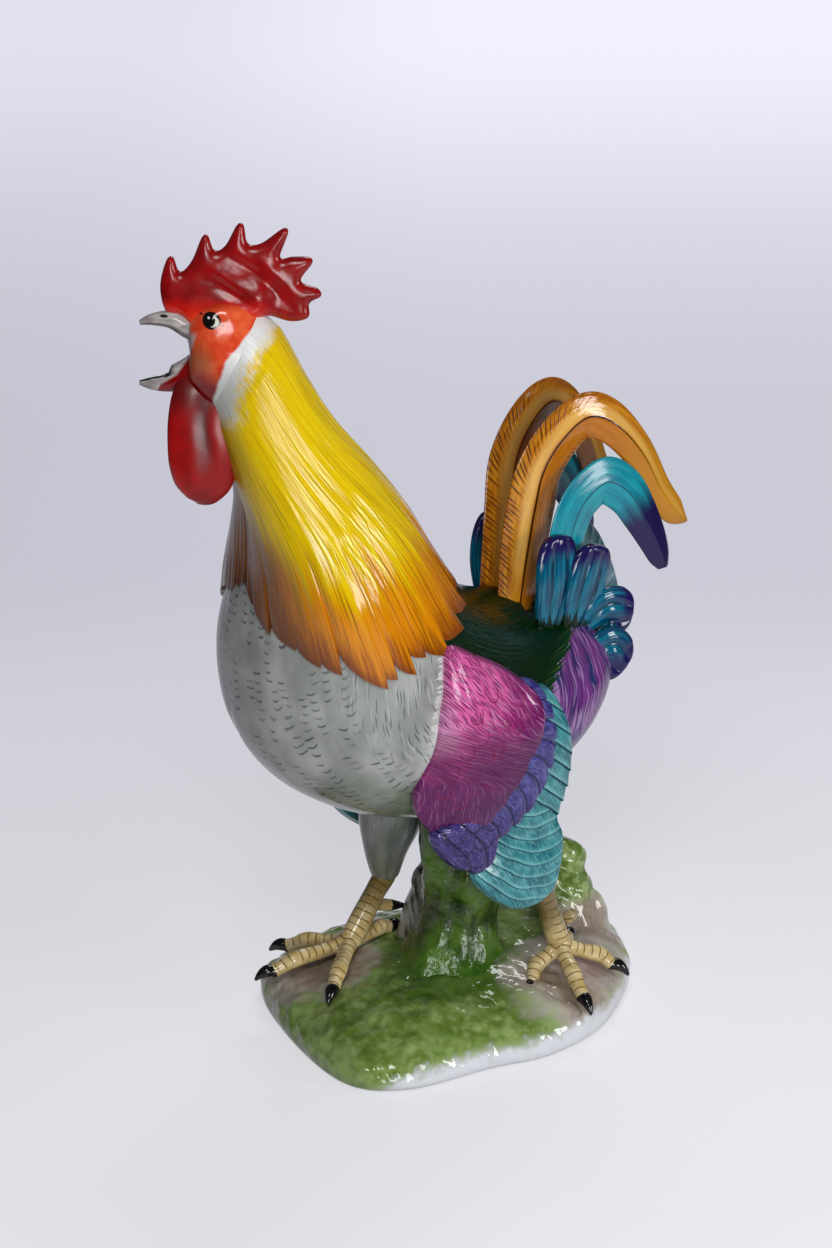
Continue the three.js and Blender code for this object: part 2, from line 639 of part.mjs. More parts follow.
// Buttress of bare bark on the side away from the moss
const BUTTRESS = [
  [2, 4, 94, 8], [-5, 0, 68, 8.5], [-12, -3, 46, 9.5], [-15, -5, 22, 11.5], [-15, -5, 14, 11.5],
];
const STUMP_STEPS = 8;
const STUMP_SIDES = 24;
const STUMP_FLUTES = 6;
const STUMP_FLUTE_DEPTH = 0.07; // as a share of the radius
function makeStump(grow = 0) {
  const at = through(STUMP);
  const rings = [];
  for (let i = 0; i <= STUMP_STEPS; i++) {
    const [x, y, z, share] = at(i / STUMP_STEPS);
    const ring = [];
    for (let j = 0; j < STUMP_SIDES; j++) {
      const angle = (2 * Math.PI * j) / STUMP_SIDES;
      const flute = 1 + STUMP_FLUTE_DEPTH * Math.cos(STUMP_FLUTES * angle);
      const r = STUMP_RADIUS * share * flute + grow;
      ring.push(point(x + r * Math.cos(angle), y + r * Math.sin(angle), z));
    }
    rings.push(ring);
  }
  const buttress = BUTTRESS.map(([x, y, z, r]) => [x, y, z, r + grow]);
  return skin(rings).add(sweep(roundRows(buttress), 14, 7, SIDEWAYS));
}

// Assembly
const moundClear = moundOuter(SLIP_JOINT);
addPiece("mound", makeMound(), PAINT.moss, 0.1);
addPiece("tree_stump", makeStump().subtract(moundClear).subtract(trunkClear), PAINT.bark, 0.1);
addPiece("trunk", trunkOuter.subtract(trunkHollow), PAINT.greyWhite);
addPiece("neck_hackle", makeHackle(), PAINT.hackleYellow);
addPiece("head", headOuter.add(headTenon), PAINT.face);

const neckClear = headClear.add(hackleClear);
const upperBeakClear = makeBeak(UPPER_BEAK, SLIP_JOINT);
const lowerBeakClear = makeBeak(LOWER_BEAK, SLIP_JOINT);
addPiece("comb", makeComb().subtract(neckClear).subtract(upperBeakClear), PAINT.combRed, 0.08);
addPiece("upper_beak", makeBeak(UPPER_BEAK).subtract(headClear), PAINT.beakGrey);
addPiece("lower_beak", makeBeak(LOWER_BEAK).subtract(headClear), PAINT.beakGrey);

addPiece("tail_fan", makeFan().subtract(trunkClear), PAINT.coverts);

const stumpClear = makeStump(SLIP_JOINT);
for (const [side, word] of [[1, "left"], [-1, "right"]]) {
  const wattle = makeWattle(side).subtract(neckClear).subtract(lowerBeakClear);
  addPiece(word + "_wattle", wattle, PAINT.combRed, 0.08);

  const leg = side > 0 ? LEFT_LEG : RIGHT_LEG;
  const thigh = makeThigh(leg).subtract(trunkClear).subtract(stumpClear).subtract(ankleSocket(leg));
  addPiece(word + "_thigh", thigh, PAINT.thighGrey);
  const foot = makeFoot(leg).subtract(moundClear).subtract(stumpClear);
  addPiece(word + "_foot", foot.subtract(makeThighSkin(leg)), PAINT.shankTan);

  const onSide = (solid) => (side > 0 ? solid : mirrored(solid));
  const thighClear = makeThigh(leg, SLIP_JOINT);
  const shoulder = onSide(layer(WING_SHOULDER, WING_PROUD.shoulder));
  const shoulderClear = onSide(layer(WING_SHOULDER, WING_PROUD.shoulder, SLIP_JOINT));
  const band = onSide(layer(WING_BAND, WING_PROUD.band));
  const bandClear = onSide(layer(WING_BAND, WING_PROUD.band, SLIP_JOINT));
  const flights = onSide(layer(WING_FLIGHTS, WING_PROUD.flights));
  const fit = (solid) => solid.subtract(trunkClear).subtract(hackleClear).subtract(thighClear);
  addPiece(word + "_wing_shoulder", fit(shoulder), PAINT.pink);
  addPiece(word + "_wing_band", fit(band).subtract(shoulderClear), PAINT.violet);
  const wingClear = shoulderClear.add(bandClear);
  addPiece(word + "_wing_flights", fit(flights).subtract(wingClear), PAINT.turquoise);

  const goldClear = makeSickle(GOLD_SICKLE, side, SLIP_JOINT);
  const turquoiseClear = makeSickle(TURQUOISE_SICKLE, side, SLIP_JOINT);
  addPiece(word + "_gold_sickle", makeSickle(GOLD_SICKLE, side).subtract(trunkClear), PAINT.gold);
  const turquoise = makeSickle(TURQUOISE_SICKLE, side).subtract(trunkClear).subtract(goldClear);
  addPiece(word + "_turquoise_sickle", turquoise, PAINT.turquoise);
  let taken = trunkClear.add(goldClear).add(turquoiseClear);
  COVERTS.forEach((covert, i) => {
    addPiece(word + "_tail_covert_" + (i + 1), makeCovert(covert, side).subtract(taken), PAINT.coverts);
    taken = taken.add(makeCovert(covert, side, SLIP_JOINT));
  });
}

export default group;
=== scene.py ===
"""Looks of a painted porcelain rooster: every casting of the frame gets a finely
modelled, glazed piece. Tables are in millimetres on the frame's own axes."""
import math

import bmesh
import bpy
import numpy as np
from mathutils import Matrix, Vector


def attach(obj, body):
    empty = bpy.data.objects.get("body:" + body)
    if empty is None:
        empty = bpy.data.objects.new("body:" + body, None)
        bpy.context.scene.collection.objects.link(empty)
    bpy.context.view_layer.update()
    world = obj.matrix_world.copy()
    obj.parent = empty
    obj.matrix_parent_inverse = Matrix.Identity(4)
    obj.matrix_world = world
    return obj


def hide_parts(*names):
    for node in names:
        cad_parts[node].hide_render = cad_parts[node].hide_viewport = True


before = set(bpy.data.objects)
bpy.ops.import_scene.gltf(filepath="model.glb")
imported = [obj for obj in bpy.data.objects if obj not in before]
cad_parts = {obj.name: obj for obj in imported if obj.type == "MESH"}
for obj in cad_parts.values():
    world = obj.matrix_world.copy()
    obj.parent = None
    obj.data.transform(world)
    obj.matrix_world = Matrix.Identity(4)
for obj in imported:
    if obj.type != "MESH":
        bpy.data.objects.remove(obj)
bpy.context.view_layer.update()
MM = 0.001
TURN = 2 * math.pi
SHARP_FROM = 50  # degrees between faces


# Curves and noise


def through(rows):
    """Smooth curve through rows of numbers, asked at t from 0 to 1."""
    rows = np.array(rows, float)
    last = len(rows) - 1

    def at(t):
        place = np.clip(np.asarray(t, float), 0, 1) * last
        i = np.minimum(np.floor(place).astype(int), last - 1)
        f = (place - i)[..., None]
        a, b, d, e = (rows[np.clip(i + k, 0, last)] for k in (-1, 0, 1, 2))
        return b + 0.5 * f * (d - a + f * (2 * a - 5 * b + 4 * d - e + f * (3 * (b - d) + e - a)))

    return at


def pack(*values):
    return np.stack(np.broadcast_arrays(*values), -1)


def unpack(rows):
    return np.moveaxis(rows, -1, 0)


def unit(v):
    return v / np.maximum(np.linalg.norm(v, axis=-1, keepdims=True), 1e-9)


def step(x, low, high):
    """Smooth rise from 0 at low to 1 at high."""
    f = np.clip((x - low) / (high - low), 0, 1)
    return f * f * (3 - 2 * f)


def blend(a, b, share):
    return a + (b - a) * share


def hump(x, middle, width):
    return np.exp(-(((x - middle) / width) ** 2))


def bulge(y, z, middle_y, middle_z, long, thin, slant=0.0):
    """Soft swelling of height 1, long in y and thin in z, that may slant down towards +Y."""
    up = z - middle_z + (y - middle_y) * slant
    return np.exp(-((up / thin) ** 2) - ((y - middle_y) / long) ** 2)


def turns(count):
    """Angles of so many places round a ring."""
    return np.linspace(0, TURN, count, endpoint=False)


def noise2(x, y, seed=0, around=None):
    """Smooth noise from -1 to 1; with around it repeats after that many cells of x."""
    i, j = np.floor(x), np.floor(y)
    fx, fy = x - i, y - j
    fx, fy = fx * fx * (3 - 2 * fx), fy * fy * (3 - 2 * fy)

    def corner(di, dj):
        column = (i + di) % around if around else i + di
        dice = np.sin(column * 127.1 + (j + dj) * 311.7 + seed * 74.7) * 43758.5453
        return dice - np.floor(dice)

    low = corner(0, 0) * (1 - fx) + corner(1, 0) * fx
    high = corner(0, 1) * (1 - fx) + corner(1, 1) * fx
    return (low * (1 - fy) + high * fy) * 2 - 1


def inside_by(points, corners):
    """Distance of flat points inside a polygon, negative outside."""
    corners = np.array(corners, float)
    flat = points.reshape(-1, 2)
    nearest = np.full(len(flat), 1e9)
    crossings = np.zeros(len(flat), int)
    for a, b in zip(corners, np.roll(corners, -1, axis=0)):
        side = b - a
        f = np.clip(((flat - a) @ side) / (side @ side), 0, 1)
        nearest = np.minimum(nearest, np.linalg.norm(flat - a - f[:, None] * side, axis=1))
        spans = (a[1] > flat[:, 1]) != (b[1] > flat[:, 1])
        rise = side[1] if side[1] else 1e-9
        crossings += spans & (flat[:, 0] < a[0] + (flat[:, 1] - a[1]) / rise * side[0])
    return np.where(crossings % 2 == 1, nearest, -nearest).reshape(points.shape[:-1])


def along_path(points, path):
    """How far along a path each point lies, in mm, how far beside it, and its nearest place."""
    flat = points.reshape(-1, points.shape[-1])
    gaps = np.linalg.norm(np.diff(path, axis=0), axis=1)
    gone = np.concatenate([[0], np.cumsum(gaps)])
    best = np.full(len(flat), 1e9)
    reach = np.zeros(len(flat))
    nearest = np.zeros_like(flat)
    for k, (a, b) in enumerate(zip(path[:-1], path[1:])):
        side = b - a
        f = np.clip(((flat - a) @ side) / (side @ side), 0, 1)
        place = a + f[:, None] * side
        away = np.linalg.norm(flat - place, axis=1)
        closer = away < best
        best = np.where(closer, away, best)
        reach = np.where(closer, gone[k] + f * gaps[k], reach)
        nearest = np.where(closer[:, None], place, nearest)
    shape = points.shape[:-1]
    return reach.reshape(shape), best.reshape(shape), nearest.reshape(points.shape)


# Meshes


def add_values(mesh, name, values, domain="POINT"):
    """Numbers, or sets of three numbers, that the paints read."""
    kind, field = ("FLOAT_VECTOR", "vector") if values.shape[-1] == 3 else ("FLOAT", "value")
    mesh.attributes.new(name, kind, domain).data.foreach_set(field, values.ravel())


def with_ends(values):
    """Values of all ring points, followed by those of the two points that close the ends."""
    ends = [values[0].mean(axis=0), values[-1].mean(axis=0)]
    return np.concatenate([values.reshape(-1, values.shape[-1]), ends])


def grid(points, wrapped=None, **values):
    """Closed mesh from rings of points; wrapped has one more column, where the ring closes."""
    rows, cols = points.shape[:2]
    i, j = (k.ravel() for k in np.meshgrid(np.arange(rows - 1), np.arange(cols), indexing="ij"))
    ahead = (j + 1) % cols
    quads = pack(i * cols + j, i * cols + ahead, (i + 1) * cols + ahead, (i + 1) * cols + j)
    here = np.arange(cols)
    ahead = (here + 1) % cols
    start = (rows - 1) * cols
    first = pack(np.full(cols, rows * cols), ahead, here)
    last = pack(np.full(cols, rows * cols + 1), start + here, start + ahead)
    verts = with_ends(points)
    a, b, c, d = (verts[quads[:, k]] for k in range(4))
    volume = (np.cross(a, b) * c).sum() + (np.cross(a, c) * d).sum()
    way = -1 if volume < 0 else 1
    faces = [face[::way] for face in quads.tolist() + first.tolist() + last.tolist()]
    mesh = bpy.data.meshes.new("grid")
    mesh.from_pydata((verts * MM).tolist(), [], faces)
    if wrapped is not None:
        low, high = wrapped[:-1], wrapped[1:]
        sides = [low[:, :-1], low[:, 1:], high[:, 1:], high[:, :-1]]
        top = [wrapped[0, :-1], wrapped[0, 1:], wrapped[0, :-1]]
        bottom = [wrapped[-1, :-1], wrapped[-1, :-1], wrapped[-1, 1:]]
        blocks = [np.stack(block, -2)[..., ::way, :].reshape(-1, 3) for block in (sides, top, bottom)]
        add_values(mesh, "flow", np.concatenate(blocks), "CORNER")
    for name, given in values.items():
        add_values(mesh, name, with_ends(given if given.ndim == 3 else given[..., None]))
    return mesh


def sweep(rows, across, sides, steps, section=None):
    """Rings round a path of x, y, z, half width and half thickness; across is the thin way."""
    t = np.linspace(0, 1, steps + 1)
    at = through(rows)
    here = at(t)
    tangent = unit(at(t + 0.01)[:, :3] - at(t - 0.01)[:, :3])
    wide_way = -unit(np.cross(np.cross(np.array(across, float), tangent), tangent))
    thick_way = np.cross(tangent, wide_way)
    angle = turns(sides)
    wide, thick = np.cos(angle)[None, :], np.sin(angle)[None, :]
    if section:
        wide, thick = section(t[:, None], angle[None, :])
    wide = (here[:, 3, None] * wide)[..., None] * wide_way[:, None, :]
    thick = (here[:, 4, None] * thick)[..., None] * thick_way[:, None, :]
    return here[:, None, :3] + wide + thick


def round_rows(rows):
    return [[x, y, z, r, r] for x, y, z, r in rows]


def clay(meshes, voxel, softened):
    """One smooth skin round several overlapping meshes."""
    shape = bmesh.new()
    for mesh in meshes:
        shape.from_mesh(mesh)
    lump = bpy.data.meshes.new("lump")
    shape.to_mesh(lump)
    shape.free()
    holder = add_object("lump", lump)
    remesh = holder.modifiers.new("remesh", "REMESH")
    remesh.mode = "VOXEL"
    remesh.voxel_size = voxel * MM
    soften = holder.modifiers.new("soften", "SMOOTH")
    soften.factor = 0.5
    soften.iterations = softened
    graph = bpy.context.evaluated_depsgraph_get()
    skin = bpy.data.meshes.new_from_object(holder.evaluated_get(graph))
    bpy.data.objects.remove(holder)
    for mesh in [*meshes, lump]:
        bpy.data.meshes.remove(mesh)
    return skin


def read_points(mesh, what):
    """Places ("co") or normals ("normal") of a mesh's points."""
    flat = np.empty(len(mesh.vertices) * 3, np.float32)
    mesh.vertices.foreach_get(what, flat)
    return flat.reshape(-1, 3).astype(float)


def vertices(mesh):
    return read_points(mesh, "co") / MM


def move_to(mesh, points):
    mesh.vertices.foreach_set("co", (points * MM).ravel())
    mesh.update()


def add_object(name, data):
    thing = bpy.data.objects.new(name, data)
    bpy.context.collection.objects.link(thing)
    return thing


def add_piece(node, mesh, material):
    """Put one casting's looks in place."""
    mesh.name = node + "_glazed"
    mesh.shade_smooth()
    mesh.set_sharp_from_angle(angle=math.radians(SHARP_FROM))
    mesh.materials.clear()
    mesh.materials.append(material)
    piece = add_object(node + "_glazed", mesh)
    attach(piece, "root")
    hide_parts(node)


# Paint: materials written as sums of wires


def rgb(red, green, blue):
    """Linear colour of what a screen shows as 0 to 255."""
    def linear(v):
        v /= 255
        return v / 12.92 if v <= 0.04045 else ((v + 0.055) / 1.055) ** 2.4
    return (linear(red), linear(green), linear(blue), 1)


def operator(operation, swapped=False):
    def act(wire, other):
        pair = (other, wire) if swapped else (wire, other)
        return wire.paint.math(operation, *pair)

    return act


class Wire:
    """A number at each point of a surface; arithmetic on wires makes math nodes."""

    __add__ = operator("ADD")
    __radd__ = operator("ADD", True)
    __sub__ = operator("SUBTRACT")
    __rsub__ = operator("SUBTRACT", True)
    __mul__ = operator("MULTIPLY")
    __rmul__ = operator("MULTIPLY", True)
    __truediv__ = operator("DIVIDE")

    def __init__(self, paint, socket):
        self.paint = paint
        self.socket = socket

    def __neg__(self):
        return self * -1

    def __abs__(self):
        return self.paint.math("ABSOLUTE", self)


class Paint:
    """One glazed material; colour holds what is painted so far."""

    def __init__(self, name):
        self.material = bpy.data.materials.new(name)
        self.material.use_nodes = True
        self.tree = self.material.node_tree
        self.shader = self.tree.nodes["Principled BSDF"]
        self.colour = None

    def feed(self, socket, value):
        if isinstance(value, Wire):
            self.tree.links.new(value.socket, socket)
        else:
            socket.default_value = value

    def node(self, kind, *values):
        """New node whose first inputs are fed."""
        node = self.tree.nodes.new("ShaderNode" + kind)
        for socket, value in zip(node.inputs, values):
            self.feed(socket, value)
        return node

    def math(self, operation, *values):
        node = self.node("Math", *values)
        node.operation = operation
        return Wire(self, node.outputs[0])

    def floor(self, value):
        return self.math("FLOOR", value)

    def least(self, a, b):
        return self.math("MINIMUM", a, b)

    def most(self, a, b):
        return self.math("MAXIMUM", a, b)

    def distance(self, dx, dy):
        return self.math("SQRT", dx * dx + dy * dy)

    def smooth(self, value, low, high):
        """Smooth rise from 0 at low to 1 at high."""
        node = self.node("MapRange", value, low, high)
        node.interpolation_type = "SMOOTHSTEP"
        return Wire(self, node.outputs[0])

    def mix(self, factor, a, b):
        node = self.node("Mix", factor)
        node.data_type = "RGBA"
        self.feed(node.inputs[6], a)
        self.feed(node.inputs[7], b)
        return Wire(self, node.outputs[2])

    def base(self, cloud, low, high, start=0.3, end=0.7):
        """First coat: one colour where the cloud is low, another where it is high."""
        self.colour = self.mix(self.smooth(cloud, start, end), rgb(*low), rgb(*high))

    def tint(self, mask, red, green, blue):
        """Lay a colour over what is there."""
        self.colour = self.mix(mask, self.colour, rgb(red, green, blue))

    def cover(self, mask, colour):
        """Lay another coat, with its own shades, over what is there."""
        self.colour = self.mix(mask, self.colour, colour)

    def parts(self, vector):
        return [Wire(self, out) for out in self.node("SeparateXYZ", vector).outputs]

    def attribute(self, name, output):
        node = self.node("Attribute")
        node.attribute_name = name
        return Wire(self, node.outputs[output])

    def vectors_of(self, name):
        return self.parts(self.attribute(name, "Vector"))

    def number_of(self, name):
        return self.attribute(name, "Fac")

    def place(self):
        """Where a point lies, in mm."""
        seen = Wire(self, self.node("TexCoord").outputs["Object"])
        return [part / MM for part in self.parts(seen)]

    def vector(self, x, y, z):
        return Wire(self, self.node("CombineXYZ", x, y, z).outputs[0])

    def noise(self, x, y, z=0, detail=2):
        """Soft noise from 0 to 1; one cell is one unit."""
        node = self.node("TexNoise", self.vector(x, y, z))
        node.inputs["Scale"].default_value = 1
        node.inputs["Detail"].default_value = detail
        return Wire(self, node.outputs[0])

    def dice(self, x, y, seed):
        """Random number of a cell, from 0 to 1."""
        return Wire(self, self.node("TexWhiteNoise", self.vector(x, y, seed)).outputs["Value"])

    def strokes(self, across, along, gap, length, width, share, seed):
        """Tapered brush strokes: 1 on a stroke. They run along, gap mm apart."""
        column = self.floor(across / gap)
        reach = along / length + self.dice(column, 7, seed)
        row = self.floor(reach)
        ends = abs((reach - row) * 2 - 1)
        half = (1 - ends * ends) * (width / gap)
        shift = (self.dice(column, row, seed + 1) - 0.5) * 0.5
        away = abs(across / gap - column - 0.5 - shift)
        drawn = self.math("LESS_THAN", self.dice(column, row, seed + 2), share)
        return self.smooth(away - half, 0.06, -0.06) * drawn

    def finish(self, roughness, relief=None, height=0.15):
        """Glaze over the colour; height is the relief's, in mm."""
        self.feed(self.shader.inputs["Base Color"], self.colour)
        self.shader.inputs["Roughness"].default_value = roughness
        if relief is not None:
            bump = self.node("Bump")
            bump.inputs["Distance"].default_value = height * MM
            self.feed(bump.inputs["Height"], relief)
            self.tree.links.new(bump.outputs[0], self.shader.inputs["Normal"])
        return self.material


# Body

TURN_AXIS_Y = -98  # the upright line that the head turns about
HEAD_TURN = -38  # degrees
# Sections from beak to rump: back Y and Z, front Y and Z, half width, turn
BIRD = [
    [-124.5, 322, -125.5, 320, 1.2, HEAD_TURN],
    [-122, 329, -124, 312, 8.5, HEAD_TURN],
    [-113, 334, -125, 301, 12.5, HEAD_TURN],
    [-103, 333, -121, 293, 14.5, HEAD_TURN],
    [-95, 326, -115, 288, 16, HEAD_TURN],
    [-88, 315, -111, 280, 18, -34],
    [-80, 299, -107, 267, 21.5, -28],
    [-69, 281, -103, 250, 27.5, -20],
    [-53, 262, -103, 230, 35.5, -12],
    [-38, 243, -107, 205, 42.5, -5],
    [-24, 223, -110, 180, 47.5, 0],
    [-10, 204, -107, 154, 50.5, 0],
    [6, 189, -93, 131, 51.5, 0],
    [21, 180, -68, 112, 51.5, 0],
    [34, 177, -39, 100, 50.5, 0],
    [46, 176, -10, 97, 49, 0],
    [57, 175, 20, 102, 45, 0],
    [67, 168, 43, 114, 36, 0],
    [74, 157, 60, 131, 21, 0],
    [76.5, 146, 75.5, 144, 1.2, 0],
]
SECTIONS = len(BIRD) - 1
TRUNK_START = 7.9  # section, inside the hackle
bird_row = through(BIRD)


def swung(x, y, degrees):
    """Flat places turned about the origin."""
    swing = np.radians(degrees)
    return x * np.cos(swing) - y * np.sin(swing), x * np.sin(swing) + y * np.cos(swing)


def bird(section, angle, grow=0.0):
    """Point of the bird's surface; angle 0 is its back, and it goes round by its left side."""
    row = bird_row(section / SECTIONS)
    back_y, back_z, front_y, front_z, half, turn = unpack(row)
    across_y, across_z = (back_y - front_y) / 2, (back_z - front_z) / 2
    reach = np.maximum(np.hypot(across_y, across_z), 0.5)
    across_y, across_z = across_y / reach, across_z / reach
    y = (back_y + front_y) / 2 + across_y * (reach + grow) * np.cos(angle)
    z = (back_z + front_z) / 2 + across_z * (reach + grow) * np.cos(angle)
    x, y = swung((half + grow) * np.sin(angle), y - TURN_AXIS_Y, turn)
    return pack(x, y + TURN_AXIS_Y, z + 0 * x)


def in_head(points):
    """From the head's own axes, facing -Y with the turning line as Z, to the frame's."""
    x, y, z = unpack(points)
    x, y = swung(x, y, HEAD_TURN)
    return pack(x, y + TURN_AXIS_Y, z)


def to_head(points):
    x, y, z = unpack(points)
    x, y = swung(x, y - TURN_AXIS_Y, -HEAD_TURN)
    return pack(x, y, z)


def body_grid(first, last, rows, cols):
    """Sections and angles of a grid; last may be a list of one section per column."""
    angle = turns(cols)[None, :]
    share = np.linspace(0, 1, rows)[:, None]
    return first + (last - first) * share + 0 * angle, angle + 0 * share


def aside(angle):
    """Angle from the back, 0 to 180 degrees on either side."""
    return np.degrees(np.abs((angle + math.pi) % TURN - math.pi))


def body_flow(section, angle):
    """Flow of a body grid: mm round it, mm along it, and degrees from the back."""
    closed = np.concatenate([angle, angle[:, :1] + TURN], axis=1)
    sections = np.concatenate([section, section[:, :1]], axis=1)
    return pack(closed * FLOW_ROUND, sections * FLOW_ALONG, aside(closed))


FLOW_ROUND, FLOW_ALONG = 49, 16  # mm of flow to a radian and to a section
PATCH_SCALE = [0.85, 13]  # mm to a degree and to a section
# Outlines of the painted patches: degrees from the back, section
SADDLE = [
    [72, 10.2], [70, 11.05], [66, 11.65], [64, 12.22], [65, 12.85], [70, 13.45], [72, 14],
    [62, 14.2], [49, 14.45], [38, 14.9], [28, 15.6], [18, 16], [-40, 16], [-40, 10.2],
]
FLUFF = [
    [27, 15.4], [37, 14.7], [48, 14.3], [57, 14], [66, 13.8], [80, 13.9], [95, 14.6], [110, 15.2],
    [122, 15.9], [135, 16.9], [150, 18.4], [150, 20], [-30, 20], [-30, 16], [18, 15.9],
]


def make_trunk():
    section, angle = body_grid(TRUNK_START, SECTIONS, 262, 340)
    turned = aside(angle)
    x, y, z = unpack(bird(section, angle))
    ramp = 9 * step(y, -4, 20) * step(y, 34, 24) * hump(x, 0, 11) * step(z, 150, 170)
    ridges = noise2(angle * 26 / TURN + 0.6 * section, section * 0.35, 4)
    low_ridges = 0.35 * ridges * step(turned, 110, 150) * step(section, 10.4, 11.4)
    soft = 0.4 * noise2(angle * 12 / TURN, section * 0.9, 5, 12)
    soft = soft + 0.16 * noise2(angle * 40 / TURN, section * 2.2, 6, 40)
    dimple = -1.3 * hump(turned, 88, 5) * step(section, 10.9, 11.6) * step(section, 14, 12)
    line = 166 - 9 * (section - 10.8)
    crease = -0.5 * hump(turned, line, 3.5) * step(section, 9.8, 10.6) * step(section, 12.2, 11.4)
    points = bird(section, angle, ramp + low_ridges + soft + dimple + crease)
    flat = pack(turned, section) * PATCH_SCALE
    saddle, fluff = (inside_by(flat, np.array(patch) * PATCH_SCALE) for patch in (SADDLE, FLUFF))
    mesh = grid(points, body_flow(section, angle), saddle=saddle, fluff=fluff)
    add_piece("trunk", mesh, trunk_paint())


def trunk_paint():
    p = Paint("trunk_glaze")
    around, along, degrees = p.vectors_of("flow")
    x, y, z = p.place()
    cloud = p.noise(x / 15, y / 15, z / 22, 3)
    p.base(cloud, (142, 146, 142), (178, 181, 177))
    down = p.noise(around / 5, along / 40, 1)
    p.tint(p.smooth(down, 0.5, 0.8) * 0.3, 112, 116, 114)
    belly = p.smooth(z + (cloud - 0.5) * 30, 148, 108)
    p.tint(belly * 0.7, 120, 130, 108)
    marks_here = p.smooth(degrees + (cloud - 0.5) * 20, 112, 124)
    p.tint(curved_marks(p, around, along) * marks_here, 70, 76, 80)
    ticks_here = p.smooth(degrees, 132, 108)
    slant = around - along * 0.5 + (cloud - 0.5) * 6
    ticks = p.strokes(slant, along + around * 0.5, 1.7, 5.5, 0.3, 0.36, 11)
    p.tint(ticks * ticks_here * 0.75, 84, 88, 88)
    pale = p.strokes(slant, along + around * 0.5, 2.1, 8, 0.3, 0.34, 15)
    p.tint(pale * ticks_here * 0.45, 206, 208, 204)
    before_wing = -42 - (190 - z) * 0.2 - y
    fringe = p.noise(z / 1.1, y / 14, 4)
    by_wing = p.smooth(before_wing + (fringe - 0.5) * 14, 4, 1.5) * p.smooth(abs(x), 20, 30)
    p.tint(by_wing * p.smooth(z, 122, 190), 224, 224, 224)
    fluff_colour(p, around, along)
    saddle_colour(p, around, along)
    fine = p.noise(around / 1.6, along / 9, 3)
    combed = p.noise((around + along * 0.5) / 1.4, (along - around * 0.5) / 16, 2)
    green = p.smooth(p.number_of("saddle"), -2, 2)
    return p.finish(0.14, fine + green * combed * 6, 0.12)


def curved_marks(p, around, along):
    """Small dark arcs in short upright series."""
    wide, high, series = 6.6, 2.5, 3
    warp = p.noise(around / 17, along / 17, 8) - 0.5
    around = around + warp * 9
    column = p.floor(around / wide)
    level = along / high + p.dice(column, 3, 5) * 9 + warp * 3
    row = p.floor(level)
    group = p.floor(level / series)
    aside_by = (p.dice(column, group, 21) - 0.5) * 0.5 + (p.dice(column, row, 23) - 0.5) * 0.12
    here = around / wide - column - 0.5 + aside_by
    up = level - row - 0.35 + here * here * 2.2
    line = p.smooth(abs(up), 0.2, 0.04)
    half = p.dice(column, row, 25) * 0.12 + 0.2
    within = p.smooth(abs(here) - half, 0.05, -0.08)
    chosen = p.math("LESS_THAN", p.dice(column, group, 9), 0.72)
    return line * within * chosen * (p.dice(column, row, 2) * 0.5 + 0.45)


def saddle_colour(p, around, along):
    depth = p.number_of("saddle")
    hair = p.noise((around + along * 0.5) / 1.1, (along - around * 0.5) / 14, 2)
    bright = p.strokes(around + along * 0.45, along, 1.3, 16, 0.2, 0.3, 31)
    rim = p.smooth(depth, 8, 0)
    green = p.mix(rim * 0.7, rgb(0, 34, 4), rgb(2, 60, 18))
    green = p.mix(bright * rim * 0.8, green, rgb(110, 118, 66))
    p.cover(p.smooth(depth + (hair - 0.5) * 15, -0.5, 0.5), green)


def fluff_colour(p, around, along):
    """Violet down whose hairs run from the saddle towards the belly."""
    depth = p.number_of("fluff")
    bent = along - around * 0.28 + p.noise(around / 26, along / 26, 1) * 10
    hair = p.noise(bent / 1.3, around / 22, 2)
    broad = p.noise(bent / 5, around / 34, 4)
    violet = p.mix(p.smooth(broad, 0.32, 0.62), rgb(30, 46, 98), rgb(118, 56, 132))
    violet = p.mix(p.smooth(hair, 0.5, 0.64) * 0.7, violet, rgb(178, 136, 190))
    violet = p.mix(p.smooth(around, 70, 96) * 0.5, violet, rgb(58, 40, 120))
    dark = p.strokes(bent, around, 1.5, 20, 0.3, 0.5, 41)
    violet = p.mix(dark * 0.8, violet, rgb(48, 18, 78))
    p.cover(p.smooth(depth + (hair - 0.5) * 12, -0.6, 0.6), violet)


# Neck hackle: a cape of lancet feathers whose pointed tips lie on the trunk

HEAD_END = 3.7  # section
RIGHT_LOBE_SHORTER = 0.4  # sections
HACKLE_LIFT = 3.2  # over the neck, near the head
HACKLE_LIP = 1.4  # over the trunk, at the edge
HACKLE_FLARE = 5  # of the lobes beside the throat
MM_ALONG_HACKLE = 19  # to a section
HACKLE_RIM = -1.5  # where the edge turns in under the skin of the trunk
# Feather tips round the edge, from the back to the throat: degrees from the back, the
# section the tip reaches, and the section of the notch behind it
TIPS = [
    [-6, 10.5, 10.2], [8, 10.6, 10.3], [23, 10.8, 10.4], [38, 11, 10.6], [52, 11.05, 10.65],
    [68, 11.05, 10.7], [81, 10.65, 10.4], [88, 10.8, 10.36], [97, 10.62, 10.25], [103, 10.65, 10.4],
    [121, 10.05, 9.48], [130, 9.8, 9.62], [141, 9.42, 9.25], [156, 9.15, 8.9], [170, 8.7, 8.5],
    [184, 8.2, 8.1],
]


def beside_throat(angle):
    return np.where(np.cos(angle) < 0, np.abs(np.sin(2 * angle)), 0)


